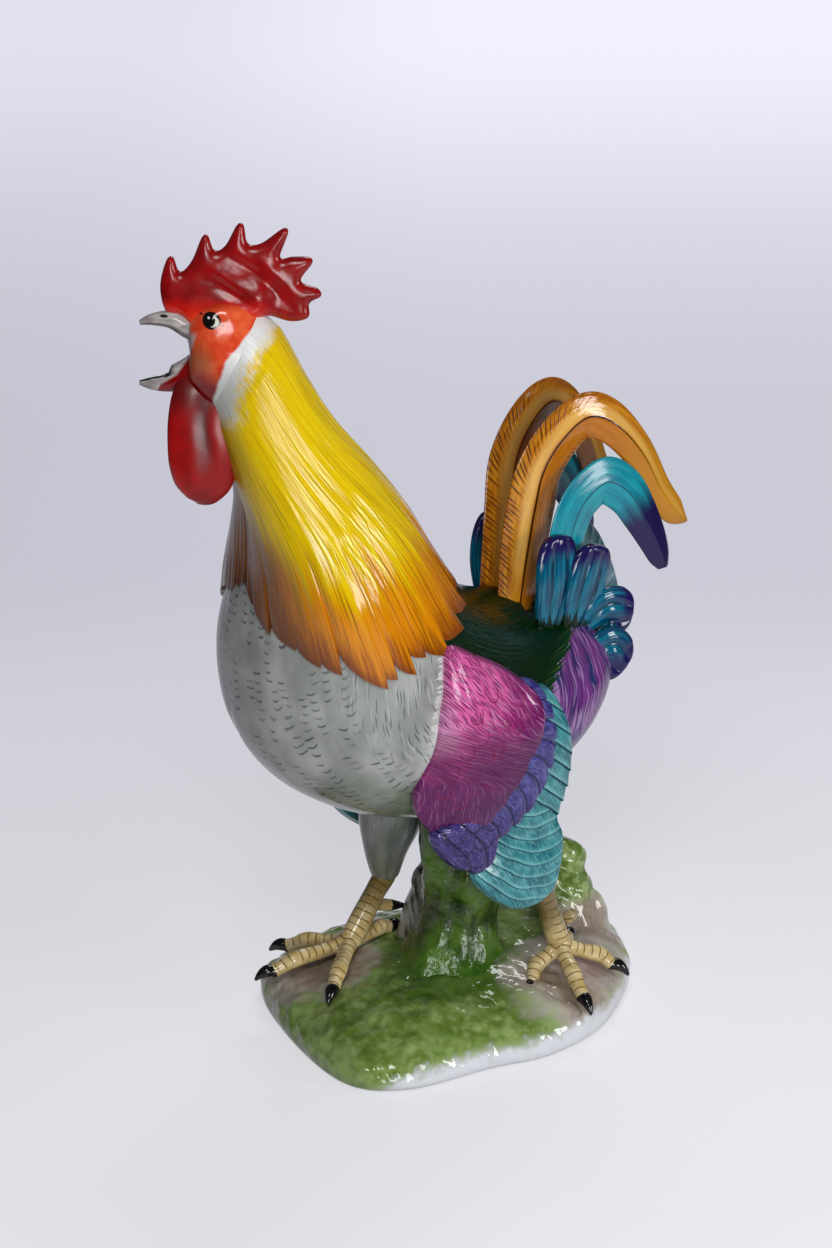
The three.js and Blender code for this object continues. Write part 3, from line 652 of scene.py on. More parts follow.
def hackle_edge(angle):
    """Section where the cape ends: each feather bulges down to its tip, then is notched."""
    turned = aside(angle)
    edge = np.full(turned.shape, float(TIPS[0][1]))
    for (low, tip, _), (high, _, notch) in zip(TIPS[:-1], TIPS[1:]):
        share = np.clip((high - turned) / (high - low), 0, 1)
        here = (turned >= low) & (turned < high)
        edge = np.where(here, notch + (tip - notch) * share**0.55, edge)
    right = (angle % TURN) > math.pi
    return edge - np.where(right, RIGHT_LOBE_SHORTER * beside_throat(angle), 0)


def make_hackle():
    rows, cols = 230, 520
    edge = hackle_edge(turns(cols))
    section, angle = body_grid(HEAD_END, edge[None, :], rows, cols)
    share = np.linspace(0, 1, rows)[:, None] + 0 * angle
    rise = HACKLE_LIFT * np.minimum(1, share / 0.15) * (1 - share)
    flare = HACKLE_FLARE * np.sin(math.pi * 0.97 * share**1.6) * beside_throat(angle)
    lift = rise + HACKLE_LIP * share + flare
    bent = angle + 0.08 * noise2(angle * 12 / TURN, section * 0.9, 9, 12)
    broad = noise2(bent * 34 / TURN, section * 0.33, 6, 34)
    grooves = noise2(bent * 92 / TURN, section * 0.55, 7, 92)
    fine = noise2(bent * 190 / TURN, section * 1.3, 8, 190)
    depth = (0.5 * broad + 0.42 * grooves + 0.16 * fine) * step(share, 0.1, 0.6)
    depth = depth * (1 - 0.45 * share**2) * (1 - 0.6 * beside_throat(angle))
    grow = np.concatenate([lift + depth, np.full((1, cols), HACKLE_RIM)])
    section, angle = (np.concatenate([k, k[-1:]]) for k in (section, angle))
    points = bird(section, angle, grow)
    from_edge = (edge[None, :] - section) * MM_ALONG_HACKLE
    mesh = grid(points, body_flow(section, angle), from_edge=from_edge, head=to_head(points))
    add_piece("neck_hackle", mesh, hackle_paint())


def hackle_paint():
    p = Paint("hackle_glaze")
    around, along, degrees = p.vectors_of("flow")
    from_edge = p.number_of("from_edge")
    hair = p.noise(around / 2.4, along / 30, 1)
    fine = p.noise(around / 0.8, along / 22, 6)
    patches = p.noise(around / 13, along / 26, 9)
    fade = from_edge + (hair - 0.5) * 36 + (fine - 0.5) * 12 + (patches - 0.5) * 22
    p.base(fade, (154, 76, 8), (224, 138, 0), -2, 15)
    p.tint(p.smooth(fade, 18, 46), 240, 202, 0)
    p.tint(p.smooth(hair, 0.55, 0.75) * p.smooth(fade, 20, 60) * 0.7, 250, 236, 30)
    dark = p.strokes(around, along, 1.7, 26, 0.2, 0.45, 51)
    low = p.smooth(from_edge, 75, 10)
    p.tint(dark * (low * 0.4 + 0.5), 130, 82, 2)
    thin = p.strokes(around + fine, along, 1.1, 16, 0.14, 0.35, 57)
    p.tint(thin * 0.65, 104, 78, 0)
    tips = p.smooth(from_edge + (fine - 0.5) * 5, 4.5, 0)
    p.tint(tips * 0.6, 112, 52, 16)
    # Olive, then brown, towards the throat: partly the cape's colours, partly painted shade under the
    # head.
    throat = p.smooth(degrees + (hair - 0.5) * 30, 105, 155)
    p.tint(throat * p.smooth(from_edge, 30, 80) * 0.7, 120, 92, 4)
    p.tint(throat * p.smooth(from_edge, 60, 25) * 0.8, 92, 44, 6)
    ear_patch(p)
    return p.finish(0.07, hair * 0.6 + fine * 0.4, 0.35)


def ear_patch(p):
    """White behind the face, fading back into the yellow."""
    hx, hy, hz = p.vectors_of("head")
    hair = p.noise(hy / 7 + hz / 3, hz / 9 - hy / 2.5, hx / 9)
    behind = face_edge_wire(p, hy, hz) + (hair - 0.5) * 11
    p.cover(p.smooth(behind, 14, 5) * p.smooth(hz, 284, 293), ear_white(p, hz))


def ear_white(p, hz):
    return p.mix(p.smooth(hz, 316, 298) * 0.7, rgb(236, 236, 234), rgb(178, 184, 178))


# Head: face, eyes, comb, wattles and beak, drawn in the head's own axes

# Y and Z of the line behind the red face
FACE_EDGE = [[-18, 280], [-16.4, 297.9], [-11.3, 313.2], [3.2, 329.2], [14, 340]]
EYE = [-17.2, 327.8]
# Swellings of the face: height, Y and Z of the middle, length, thickness
FACE_FORMS = [
    [1.3, -15, 331, 9, 2.6],  # brow
    [-0.7, *EYE, 4.6, 3.2],  # socket
    [1, *EYE, 2.6, 2.2],  # eyeball
    [0.9, -15, 316, 6, 5],  # cheek
]


def swellings(y, z, forms):
    return sum(height * bulge(y, z, *form) for height, *form in forms)


def make_head():
    section, angle = body_grid(0, HEAD_END + 0.25, 150, 240)
    x, y, z = unpack(to_head(bird(section, angle)))
    tuck = -1.5 * step(section, HEAD_END, HEAD_END + 0.2)
    points = bird(section, angle, swellings(y, z, FACE_FORMS) * step(np.abs(x), 3, 8) + tuck)
    add_piece("head", grid(points, head=to_head(points)), head_paint())


def head_paint():
    p = Paint("face_glaze")
    hx, hy, hz = p.vectors_of("head")
    mottle = p.noise(hx / 7, hy / 7, hz / 7)
    p.base(mottle, (222, 62, 26), (242, 104, 58))
    red = p.smooth(hz - (hy + 10) * 0.1, 329, 337)
    p.tint(red, 206, 22, 6)
    # Greyish olive round the corner of the beak.
    olive_by_beak_corner = p.smooth(p.distance(hy + 22, (hz - 312) * 0.8), 9, 1)
    p.tint(olive_by_beak_corner * 0.65, 132, 88, 54)
    low = p.smooth(hz + (hy + 20) * 0.15 + (mottle - 0.5) * 4, 313, 301)
    p.tint(low, 120, 2, 2)
    border = (319 - hz) * 0.417 + p.most(309 - hz, 0) * 0.58
    into_mouth = -23.7 - hy - border
    gape = p.smooth(into_mouth + (mottle - 0.5), -0.7, 0.5) * p.smooth(hz, 324, 320.5)
    p.tint(gape * 0.9, 178, 168, 164)
    # Dark inside the open mouth: painted shade.
    inside = p.smooth(into_mouth, 5, 8) * p.smooth(hz, 321, 317)
    p.tint(inside, 92, 44, 42)
    edge = face_edge_wire(p, hy, hz) + (p.noise(hy / 5, hz / 5, hx / 5) - 0.5) * 1.6
    p.cover(p.smooth(edge, -0.9, 0.7), ear_white(p, hz))
    eye_colour(p, hy, hz)
    return p.finish(0.14, mottle, 0.1)


def face_edge_wire(p, hy, hz):
    """How far behind the edge of the red face a point lies, in mm."""
    edge = FACE_EDGE[0][0]
    for (y0, z0), (y1, z1) in zip(FACE_EDGE[:-1], FACE_EDGE[1:]):
        edge = edge + p.least(p.most(hz - z0, 0), z1 - z0) * ((y1 - y0) / (z1 - z0))
    return hy - edge


def eye_colour(p, hy, hz):
    dy, dz = hy - EYE[0], hz - EYE[1]
    lid = p.distance((dy - 0.5) / 3.5, (dz + 0.1) / 3.1)
    p.tint(p.smooth(lid, 1.06, 0.96), 14, 8, 8)
    white = p.distance((dy - 0.7) / 2.9, (dz + 0.4) / 2.1)
    p.tint(p.smooth(white, 1, 0.88), 232, 228, 216)
    pupil = p.distance(dy + 0.35, dz + 0.05)
    p.tint(p.smooth(pupil, 2.4, 2.2), 6, 5, 6)
    spark = p.distance(dy + 0.6, dz - 0.9)
    p.tint(p.smooth(spark, 0.55, 0.4), 240, 240, 240)
    lash = p.smooth(abs(dz - 1.3 + dy * 0.12), 0.38, 0.15) * p.smooth(abs(dy + 4.4), 1.7, 1.4)
    p.tint(lash, 30, 16, 12)
    corner = p.smooth(abs(dz + 1.4 + (dy - 4.2) * 0.7), 0.4, 0.16) * p.smooth(abs(dy - 4.4), 0.9, 0.7)
    p.tint(corner, 30, 16, 12)


COMB_OUTLINE = [
    [-35, 329], [-36.8, 338.6], [-34.2, 348.6], [-31.4, 350.2], [-29, 344.2], [-24.4, 348.6],
    [-20.4, 357.6], [-17.9, 358.6], [-15.6, 352.6], [-11.4, 354.6], [-6.8, 362.6], [-4.2, 362.6],
    [-2.8, 355.4], [2.4, 355.5], [10.6, 361.2], [12.8, 359.6], [9.4, 349.8], [14, 350.2], [20.6, 350],
    [21.8, 347.6], [17.2, 340.6], [23.6, 337.8], [25, 334.6], [20.4, 331.8], [20, 326.2], [13, 324.6],
    [4, 327], [-2, 324], [-14, 320], [-24, 321], [-29, 327],
]
COMB_HALF = 3.1
COMB_EDGE = 4.2  # how far in from its outline the comb is rounded
# Folds of the comb: height, Y and Z of the middle, length, thickness, slant
COMB_FOLDS = [
    [0.975, -9, 341.5, 8, 2.6, 0.6], [-0.9, -8, 336.1, 8, 2.2, 0.5], [-0.675, -5, 347.5, 8, 2.4, 0.6],
    [-0.675, 5, 339, 7, 2.2, 0.9], [0.6, 8, 344, 6, 2.4, 0.9],
]


def prism(outline, thick):
    """Flat slab across X in the head's axes."""
    ring = np.insert(outline, 0, thick / 2, axis=1)
    count = len(ring)
    faces = [list(range(count)), list(range(2 * count - 1, count - 1, -1))]
    faces += [[i, count + i, count + (i + 1) % count, (i + 1) % count] for i in range(count)]
    mesh = bpy.data.meshes.new("slab")
    mesh.from_pydata((in_head(np.concatenate([ring, ring * [-1, 1, 1]])) * MM).tolist(), [], faces)
    shape = bmesh.new()
    shape.from_mesh(mesh)
    bmesh.ops.triangulate(shape, faces=shape.faces)
    bmesh.ops.recalc_face_normals(shape, faces=shape.faces)
    shape.to_mesh(mesh)
    shape.free()
    return mesh


def rounded(outline, count):
    """Closed smooth outline through its corners."""
    corners = np.array(outline, float)
    t = np.linspace(0, len(corners), count, endpoint=False)
    i = np.floor(t).astype(int)
    f = (t - i)[:, None]
    a, b, c, d = (corners[(i + k) % len(corners)] for k in (-1, 0, 1, 2))
    m0, m1 = (c - a) / 2, (d - b) / 2
    return ((2 * f**3 - 3 * f**2 + 1) * b + (f**3 - 2 * f**2 + f) * m0
            + (3 * f**2 - 2 * f**3) * c + (f**3 - f**2) * m1)


def make_comb():
    outline = rounded(COMB_OUTLINE, 260)
    skin = clay([prism(outline, 2 * COMB_HALF)], 0.55, 2)
    local = to_head(vertices(skin))
    x, y, z = local.T
    depth = np.clip(inside_by(local[:, 1:], outline) / COMB_EDGE, 0, 1)
    rounding = np.sqrt(1 - (1 - depth) ** 2)
    base = 1 + 0.9 * step(z - 0.25 * y, 346, 333) * step(y, 9, 0) * step(y, -33, -24)
    half = COMB_HALF * rounding * base + swellings(y, z, COMB_FOLDS) * depth
    local[:, 0] = np.clip(x / COMB_HALF, -1, 1) * half
    move_to(skin, in_head(local))
    skin = clay([skin], 0.6, 6)
    add_values(skin, "head", to_head(vertices(skin)))
    add_piece("comb", skin, comb_paint())


def comb_paint():
    p = Paint("comb_glaze")
    hx, hy, hz = p.vectors_of("head")
    cloud = p.noise(hx / 6, hy / 6, hz / 6)
    p.base(cloud, (132, 2, 5), (158, 5, 8))
    near_face = p.smooth(hy, 6, -4)
    p.tint(p.smooth(hz - (cloud - 0.5) * 4, 336.5, 329.5) * near_face, 216, 24, 6)
    p.tint(p.smooth(hz - (cloud - 0.5) * 3, 331, 326) * near_face * 0.7, 240, 70, 24)
    return p.finish(0.24, cloud, 0.15)


# Beaks: X, Y, Z, half height and half width
UPPER_BEAK = [
    [0, -20, 321, 7, 7.5], [0, -26, 321.5, 6.2, 6], [0, -33, 324.5, 4.6, 3.8],
    [0, -40, 324.8, 3, 2.2], [0, -45, 324, 1.2, 1],
]
LOWER_BEAK = [
    [0, -20, 308, 6.5, 6], [0, -27, 304, 5.8, 4.6], [0, -34, 301.5, 5, 3.6],
    [0, -41, 300.6, 3.4, 2.4], [0, -46, 300.4, 1.2, 1],
]


def make_beak(node, rows, hollow_side, hollow_from):
    """Half beak; hollow_side is 1 where its top is hollow and -1 where its underside is."""
    sides = 96

    def section(t, angle):
        high, wide = np.cos(angle), np.sin(angle)
        inner = step(high * hollow_side, 0.35, 0.9) * step(t, hollow_from, hollow_from + 0.2)
        return high - hollow_side * 0.9 * inner, wide + 0 * t

    ring = sweep(rows, (0, 0, 1), sides, 80, section)
    inner = np.cos(turns(sides)) * hollow_side + 0 * ring[..., 0]
    mesh = grid(in_head(ring), inner=inner, head=ring)
    add_piece(node, mesh, beak_paint(node, hollow_side))


def beak_paint(node, hollow_side):
    p = Paint(node + "_glaze")
    hx, hy, hz = p.vectors_of("head")
    streak = p.noise(hx / 1.5, hy / 9, hz / 1.5)
    p.base(streak, (160, 154, 152), (202, 194, 192))
    p.tint(p.smooth(hy, -36, -45) * 0.5, 110, 104, 102)
    inner = p.number_of("inner")
    hollow = p.smooth(inner, 0.42, 0.5)
    if hollow_side < 0:
        # Dark grey underside and black hollow: painted shade under the beak and inside the mouth.
        p.tint(p.smooth(inner, -0.1, 0.2) * 0.8, 72, 64, 64)
        p.tint(hollow, 22, 18, 20)
        nostril = p.distance((hy + 35.5) / 1.7, (hz - 327.4) / 0.6)
        p.tint(p.smooth(nostril, 1.1, 0.8), 40, 36, 38)
    else:
        # Black in the hollow at the back: painted shade inside the mouth.
        p.tint(hollow * p.smooth(hy, -31.5, -34.5), 22, 18, 20)
        chin = 300.4 + (hy + 37.5) * 0.65 + p.least(hy + 37.5, 0) * 1.45
        chin = chin + p.most(hy + 30.9, 0) * 0.72
        p.tint(p.smooth(hz - chin, 0.9, -0.9), 128, 4, 4)
    return p.finish(0.16, streak, 0.08)


# X, Y, Z, half width and share of the half thickness
WATTLE = [
    [3, -20, 303, 9, 0.5], [6, -21.5, 296, 11.5, 0.85], [8.8, -22.5, 285, 12.4, 1],
    [9.5, -21.5, 272, 13.4, 1], [9, -21.5, 262, 11.4, 0.9], [8.5, -22, 255.8, 6.6, 0.6],
    [8.5, -22.5, 253.3, 2, 0.22],
]
WATTLE_HALF_THICK = 4.5


def make_wattle(side, word):
    sides = 90
    rows = [[side * x, y, z, wide, WATTLE_HALF_THICK * share] for x, y, z, wide, share in WATTLE]

    def section(t, angle):
        wide, thick = np.cos(angle), np.sin(angle)
        fold = 0.2 * hump(wide, 0.1 + 0.25 * t, 0.3) * step(t, 0.02, 0.2) * step(t, 0.8, 0.4)
        lean = 1 - 0.5 * wide * step(t, 0.4, 0.7)
        return wide + 0 * t, thick * lean * (1 - fold)

    ring = sweep(rows, (0, 1, 0), sides, 90, section)
    across = np.cos(turns(sides)) + 0 * ring[..., 0]
    mesh = grid(in_head(ring), across=across, head=ring)
    add_piece(word + "_wattle", mesh, wattle_paint(word))


def wattle_paint(word):
    p = Paint(word + "_wattle_glaze")
    hx, hy, hz = p.vectors_of("head")
    across = p.number_of("across")
    cloud = p.noise(hx / 8, hy / 8, hz / 8)
    p.base(cloud, (138, 2, 4), (166, 5, 6))
    # Darker red in the central fold: painted shade.
    crease = p.smooth(abs(across - 0.12), 0.4, 0) * p.smooth(hz, 264, 282)
    p.tint(crease * 0.75, 58, 0, 2)
    p.tint(p.smooth(hz, 286, 299) * 0.75, 92, 0, 2)
    # Brighter red on the lower front: painted highlight.
    bright = p.smooth(across, -0.45, -0.85) * p.smooth(hz, 296, 276)
    p.tint(bright * 0.6, 190, 10, 6)
    return p.finish(0.32, cloud, 0.15)


# Wings: three layers that follow the flank

# Half width of the flank at even heights
FLANK = [[51], [51], [51], [51], [51.5], [52], [51.5], [49], [44], [37], [28]]
FLANK_LOW, FLANK_HIGH = 60, 200
flank_of_height = through(FLANK)
# Each layer's outline in Y and Z, how far its middle and its rim stand out, and 1 where its
# front edge melts into the breast
WING_SHOULDER = {
    "outline": [
        [-42, 190], [-27, 183], [-10, 172], [3, 158], [1, 142], [-14, 121], [-30, 107], [-45, 108],
        [-55, 124], [-50, 147], [-46, 168],
    ],
    "centre": [-28, 146],
    "proud": 7,
    "rim": 4.5,
    "front_sinks": 1,
}
WING_BAND = {
    "outline": [
        [-6, 166], [7, 158], [10, 135], [2, 116], [-9, 107], [-19, 101], [-23, 91], [-30, 89],
        [-42, 97], [-48, 110], [-30, 118], [-10, 140],
    ],
    "centre": [-20, 112],
    "proud": 5.5,
    "rim": 3.2,
    "front_sinks": 0,
}
WING_FLIGHTS = {
    "outline": [
        [0, 160], [10, 160], [17.5, 147], [21, 133], [20, 117], [14.5, 102], [18, 92], [17.5, 80],
        [13, 68], [2, 64], [-13, 68], [-30, 88], [-16, 110], [0, 135],
    ],
    "centre": [4, 98],
    "proud": 4,
    "rim": 2,
    "front_sinks": 0,
}
# The line that the band's puffs follow
BAND_SPINE = [
    [2, 176], [3, 163], [5.5, 150], [4.5, 136], [-3, 121.5], [-11.5, 112.5], [-21, 103], [-33, 92],
    [-50, 78],
]
WING_THICK = 8.5
WING_FROM = 7.6  # first section of the body that a wing can lie on
HALVINGS = 24
BAND_CELL = 9  # length of a puff
BAND_CURL = 4.5  # radius of the small feathers drawn on the band's lower end
BAND_CURLS = [[-24, 112], [-33, 113], [-41, 109], [-28, 104], [-37, 103], [-31, 96]]


def body_half_width(y, z):
    """Half width of the body over a place in its middle plane, on the section through it."""
    def section_at(section):
        return unpack(bird_row(section / SECTIONS))[:5]

    def past_line(section):
        back_y, back_z, front_y, front_z, _ = section_at(section)
        return (front_y - back_y) * (z - back_z) - (front_z - back_z) * (y - back_y)

    low = np.full(y.shape, WING_FROM)
    high = np.full(y.shape, float(SECTIONS))
    headward = np.sign(past_line(low))
    for _ in range(HALVINGS):
        middle = (low + high) / 2
        ahead = past_line(middle) * headward > 0
        low = np.where(ahead, middle, low)
        high = np.where(ahead, high, middle)
    back_y, back_z, front_y, front_z, half = section_at(low)
    reach = np.hypot(back_y - front_y, back_z - front_z) / 2
    out = np.hypot(y - (back_y + front_y) / 2, z - (back_z + front_z) / 2) / reach
    return half * np.sqrt(np.maximum(0, 1 - out**2))


def flank(y, z):
    """How far from the middle plane a layer lies: on the body, or on the plain flank."""
    widest = flank_of_height((z - FLANK_LOW) / (FLANK_HIGH - FLANK_LOW))[..., 0]
    plain = widest * (1 - 0.16 * ((y + 5) / 55) ** 2)
    body = body_half_width(y, z)
    return (plain + body + np.sqrt((plain - body) ** 2 + 9)) / 2


def fill(outline, centre, rows):
    """Places from near a centre out to an outline, and their shares of the way."""
    share = np.sin(np.linspace(0.02, 1, rows) * math.pi / 2)[:, None]
    place = centre + (outline - centre)[None] * share[..., None]
    return place[..., 0], place[..., 1], share


def wing_layer(shape, relief, scallop=None, sides=300, rows=110):
    """Rings of one layer from its inner middle round its rim to its outer middle."""
    proud, edge = shape["proud"], shape["rim"]
    outline = rounded(shape["outline"], sides)
    centre = shape["centre"]
    way = unit(outline - centre)
    if scallop:
        outline = outline + way * scallop(*outline.T)[:, None]
    y, z, share = fill(outline, centre, rows)
    front = step(y + (z - 150) * 0.1, -30, -50) * shape["front_sinks"]
    full = np.sqrt(np.maximum(0, 1 - share**4)) + 0 * y
    dome = full + (1 - share**2 - full) * front
    rim_height = edge * (1 - 0.9 * front)
    base = flank(y, z) + rim_height
    outer = base + (proud - rim_height) * dome + relief(y, z) * step(share, 1, 0.93)
    inner = base - 0.5 - WING_THICK * (0.35 + 0.65 * full)
    face = pack(outer, y, z)
    behind = pack(np.minimum(inner, outer - 1), y, z)
    rim = (face[-1:] + behind[-1:]) / 2
    rim[0, :, 1:] += way * 0.9
    return np.concatenate([behind, rim, face[::-1]])


def on_side(points, side):
    """As drawn for the left side, or mirrored to the right."""
    return points * [side, 1, 1]


CURLS = [  # small feathers drawn on the shoulder: Y, Z and radius
    [-24.1, 168.6, 2.9], [-34.6, 162.6, 3.2], [-18.7, 157.7, 3], [-9.8, 162.7, 2.6],
    [-31.9, 152.9, 3.2], [-38.9, 147, 2.8], [-29.3, 143.8, 3], [-45, 138.1, 3.2], [-36.3, 136.5, 2.8],
    [-45.9, 129.7, 2.6], [-39.8, 124.2, 2.8], [-13.3, 152.5, 2.8], [-24, 145.8, 3], [-27.4, 132, 2.8],
]


def make_wing_shoulder(side, word):
    def relief(y, z):
        hair = noise2((y * 0.9 + z * 0.45) / 1.7, z / 9, 12)
        return 0.16 * hair + 0.5 * noise2(y / 9, z / 9, 13)

    points = wing_layer(WING_SHOULDER, relief)
    rim = inside_by(points[..., 1:], rounded(WING_SHOULDER["outline"], 240))
    mesh = grid(on_side(points, side), rim=rim)
    add_piece(word + "_wing_shoulder", mesh, shoulder_paint(word))


def shoulder_paint(word):
    p = Paint(word + "_wing_shoulder_glaze")
    _, y, z = p.place()
    rim = p.number_of("rim")
    cloud = p.noise(y / 9, z / 9, 1)
    mottle = p.noise(y / 4, z / 4, 2)
    height = z - y * 0.3 + (cloud - 0.5) * 24
    p.base(height, (72, 22, 78), (112, 28, 98), 120, 140)
    p.tint(p.smooth(height, 142, 162), 162, 44, 120)
    p.tint(p.smooth(height, 156, 178), 222, 96, 164)
    rear = p.smooth(y + (z - 150) * 0.35 + (mottle - 0.5) * 10, -14, 2)
    p.tint(rear * 0.75, 108, 30, 98)
    front = p.smooth(y + (z - 150) * 0.12 + (mottle - 0.5) * 6, -38, -48)
    front = front * p.smooth(z, 142, 154) * p.smooth(z, 184, 168)
    p.tint(front * 0.6, 232, 180, 216)
    upright = p.smooth(z + y * 0.3, 146, 118)
    leaning = y * 0.8 + z * 0.6
    wave = leaning + (y - leaning) * upright + p.noise(y / 12, z / 12, 5) * 6
    hatch = p.strokes(wave, z, 0.95, 6, 0.3, 0.8, 61)
    p.tint(hatch * 0.8, 104, 4, 78)
    dense = p.strokes(wave + z * 0.25, z, 0.8, 4, 0.26, 0.75, 67)
    lower = p.smooth(z + (mottle - 0.5) * 20, 160, 122)
    p.tint(dense * lower * 0.75, 70, 8, 84)
    light = p.strokes(wave + 0.5, z, 1.4, 7, 0.2, 0.42, 71)
    p.tint(light * (0.55 - lower * 0.4), 238, 168, 220)
    soft = p.smooth(p.noise(wave / 1.6, z / 12, 9), 0.58, 0.72)
    p.tint(soft * (0.4 - lower * 0.25), 206, 130, 200)
    for cy, cz, radius in CURLS:
        away = p.distance(y - cy, (z - cz) * 0.85)
        ring = p.smooth(abs(away - radius), 0.42, 0.12) * p.smooth(z - cz - (y - cy) * 0.5, 1.2, 0.2)
        p.tint(ring * 0.8, 132, 0, 66)
    edge = p.smooth(rim + (mottle - 0.5) * 1.5, 1.5, 0.2) * p.smooth(y, -46, -36)
    p.tint(edge * 0.55, 92, 14, 74)
    return p.finish(0.16, hatch * -0.5 + cloud, 0.25)


def band_cell(y, z):
    """Which puff of the band a place lies in; the lines between puffs lean down and back."""
    spine = through(BAND_SPINE)(np.linspace(0, 1, 60))
    reach, away, nearest = along_path(pack(y, z), spine)
    outward = np.sign((y - nearest[..., 0]) - (z - nearest[..., 1]) + 1e-6) * away
    bend = np.clip(outward, -9, 9)
    return (reach - 0.5 * bend - 0.03 * bend**2) / BAND_CELL, outward


def make_wing_band(side, word):
    def puff(y, z):
        cell, _ = band_cell(y, z)
        share = cell - np.floor(cell)
        return np.sqrt(np.maximum(0, 1 - (2 * share - 1) ** 2))

    def relief(y, z):
        return puff(y, z) - 0.7

    def scallop(y, z):
        return 1.8 * puff(y, z) - 1

    points = wing_layer(WING_BAND, relief, scallop, 420)
    x, y, z = unpack(points)
    mesh = grid(on_side(points, side), cell=pack(*band_cell(y, z), x))
    add_piece(word + "_wing_band", mesh, band_paint(word))


def band_paint(word):
    p = Paint(word + "_wing_band_glaze")
    cell, outward, _ = p.vectors_of("cell")
    _, y, z = p.place()
    cloud = p.noise(y / 6, z / 6, 2)
    p.base(cloud, (56, 52, 124), (88, 86, 158))
    low = p.smooth(z + (cloud - 0.5) * 14, 122, 104)
    p.tint(low * 0.6, 58, 30, 96)
    hatch = p.strokes(cell * BAND_CELL + (cloud - 0.5) * 5, outward, 1, 4, 0.28, 0.75, 81)
    p.tint(hatch * 0.85, 34, 20, 84)
    pale = p.strokes(cell * BAND_CELL, outward + z * 0.3, 1.3, 5, 0.2, 0.4, 87)
    p.tint(pale * 0.3, 140, 130, 196)
    speckle = p.noise(y / 1.6, z / 1.6, 7)
    p.tint(p.smooth(speckle, 0.55, 0.7) * low * 0.5, 118, 90, 160)
    line = abs(cell - p.floor(cell) - 0.5) * BAND_CELL
    p.tint(p.smooth(line, 3.5, 4.2) * 0.8, 28, 18, 66)
    for cy, cz in BAND_CURLS:
        away = p.distance(y - cy, z - cz)
        ring = p.smooth(abs(away - BAND_CURL), 0.7, 0.2) * p.smooth(cz - z + (cy - y) * 0.4, -1.2, 0.2)
        p.tint(ring * 0.8, 28, 16, 66)
    return p.finish(0.16, cloud, 0.2)


UPPER_ROW, LOWER_ROW = 8, 5.6  # widths of a row of barbs
NOTCH = [14.5, 102]  # where the upper flights end over the lower ones


def flight_rows(y, z):
    """Row of barbs a place lies in, and whether it is in the lower lobe."""
    slant = 0.8
    leaning = z + slant * y
    border = NOTCH[1] + slant * NOTCH[0]
    upper = (border + 8 * UPPER_ROW - leaning) / UPPER_ROW
    curved = z + 0.2 * y - 0.014 * (y - 2) ** 2 + 0.8 * noise2(y / 9, z / 9, 43)
    leaning = leaning + 0.8 * noise2(y / 9, z / 9, 41)
    lower = (border + 4 - curved) / LOWER_ROW
    below = step(leaning, border + 0.6, border - 0.6)
    return np.where(leaning > border, upper, lower), below


def make_wing_flights(side, word):
    def relief(y, z):
        row, below = flight_rows(y, z)
        share = row - np.floor(row)
        return 1.2 * share**1.3 * (1 - 0.3 * below) - 1.6 * below * step(z, 78, 98) - 0.3

    points = wing_layer(WING_FLIGHTS, relief, None, 420, 150)
    x, y, z = unpack(points)
    mesh = grid(on_side(points, side), row=pack(*flight_rows(y, z), x))
    add_piece(word + "_wing_flights", mesh, flights_paint(word))


def flights_paint(word):
    p = Paint(word + "_wing_flights_glaze")
    row, below, _ = p.vectors_of("row")
    _, y, z = p.place()
    cloud = p.noise(y / 8, z / 8, 3)
    p.base(cloud, (26, 106, 118), (80, 160, 166))
    across = y * 0.9 + z * 0.5 + (cloud - 0.5) * 4
    hatch = p.strokes(across, row * UPPER_ROW, 0.95, 4, 0.28, 0.7, 91)
    p.tint(hatch * 0.6, 10, 84, 104)
    pale = p.strokes(across + 0.4, row * UPPER_ROW, 1.3, 6, 0.2, 0.42, 93)
    p.tint(pale * 0.3, 160, 216, 218)
    inside = row - p.floor(row)
    p.tint(p.smooth(inside, 0.6, 0.9) * 0.4, 150, 214, 214)
    line = p.smooth(inside, 0.9, 0.95) + p.smooth(inside, 0.08, 0.02)
    p.tint(p.least(line, 1) * 0.8, 8, 66, 88)
    border = below * (1 - below) * 4
    p.tint(border, 8, 58, 76)
    return p.finish(0.14, cloud, 0.2)


# Tail

# Sickles: X, Y, Z and half width from root to tip
GOLD_SICKLE = [
    [6, 27.5, 172, 8.5], [6, 30, 188, 11], [6, 33, 205, 13], [7, 35.5, 222, 13.6], [9, 38.5, 239, 13],
    [11, 48, 252.5, 12], [13, 60, 259.5, 10.4], [15.5, 72.5, 254.5, 9.2], [18, 86, 239.5, 7.8],
    [20, 96, 221, 7], [21.5, 104, 210, 6], [22.5, 109.5, 205, 2],
]
TURQUOISE_SICKLE = [
    [15, 42, 166, 6], [17, 43.5, 184, 8.5], [18, 45, 200, 9.5], [19, 47, 214, 10.2],
    [20, 52.5, 225.5, 10.6], [21, 64, 232, 10.4], [22, 75.5, 225, 10], [23, 83.5, 213.5, 9],
    [24, 90, 201.5, 7.4], [24.5, 94, 192.5, 5.6], [25, 95.8, 187.5, 3],
]
SICKLE_HALF_THICK = 2.5
BLADE_WIDTH = 11  # mm from a sickle's rib to its edge, as painted
COVERT_FLUTE = 0.36  # share of the half width at which a flute lies
# Coverts: root, middle and tip
COVERTS = [
    [[19, 35, 166], [22, 37.5, 191], [21, 39, 213]],
    [[21, 46, 165], [24, 52, 187], [25, 57, 206]],
    [[18, 48, 162], [25, 63, 174], [26, 77, 171]],
    [[20, 48, 150], [30, 61, 158], [31, 69, 149]],
]


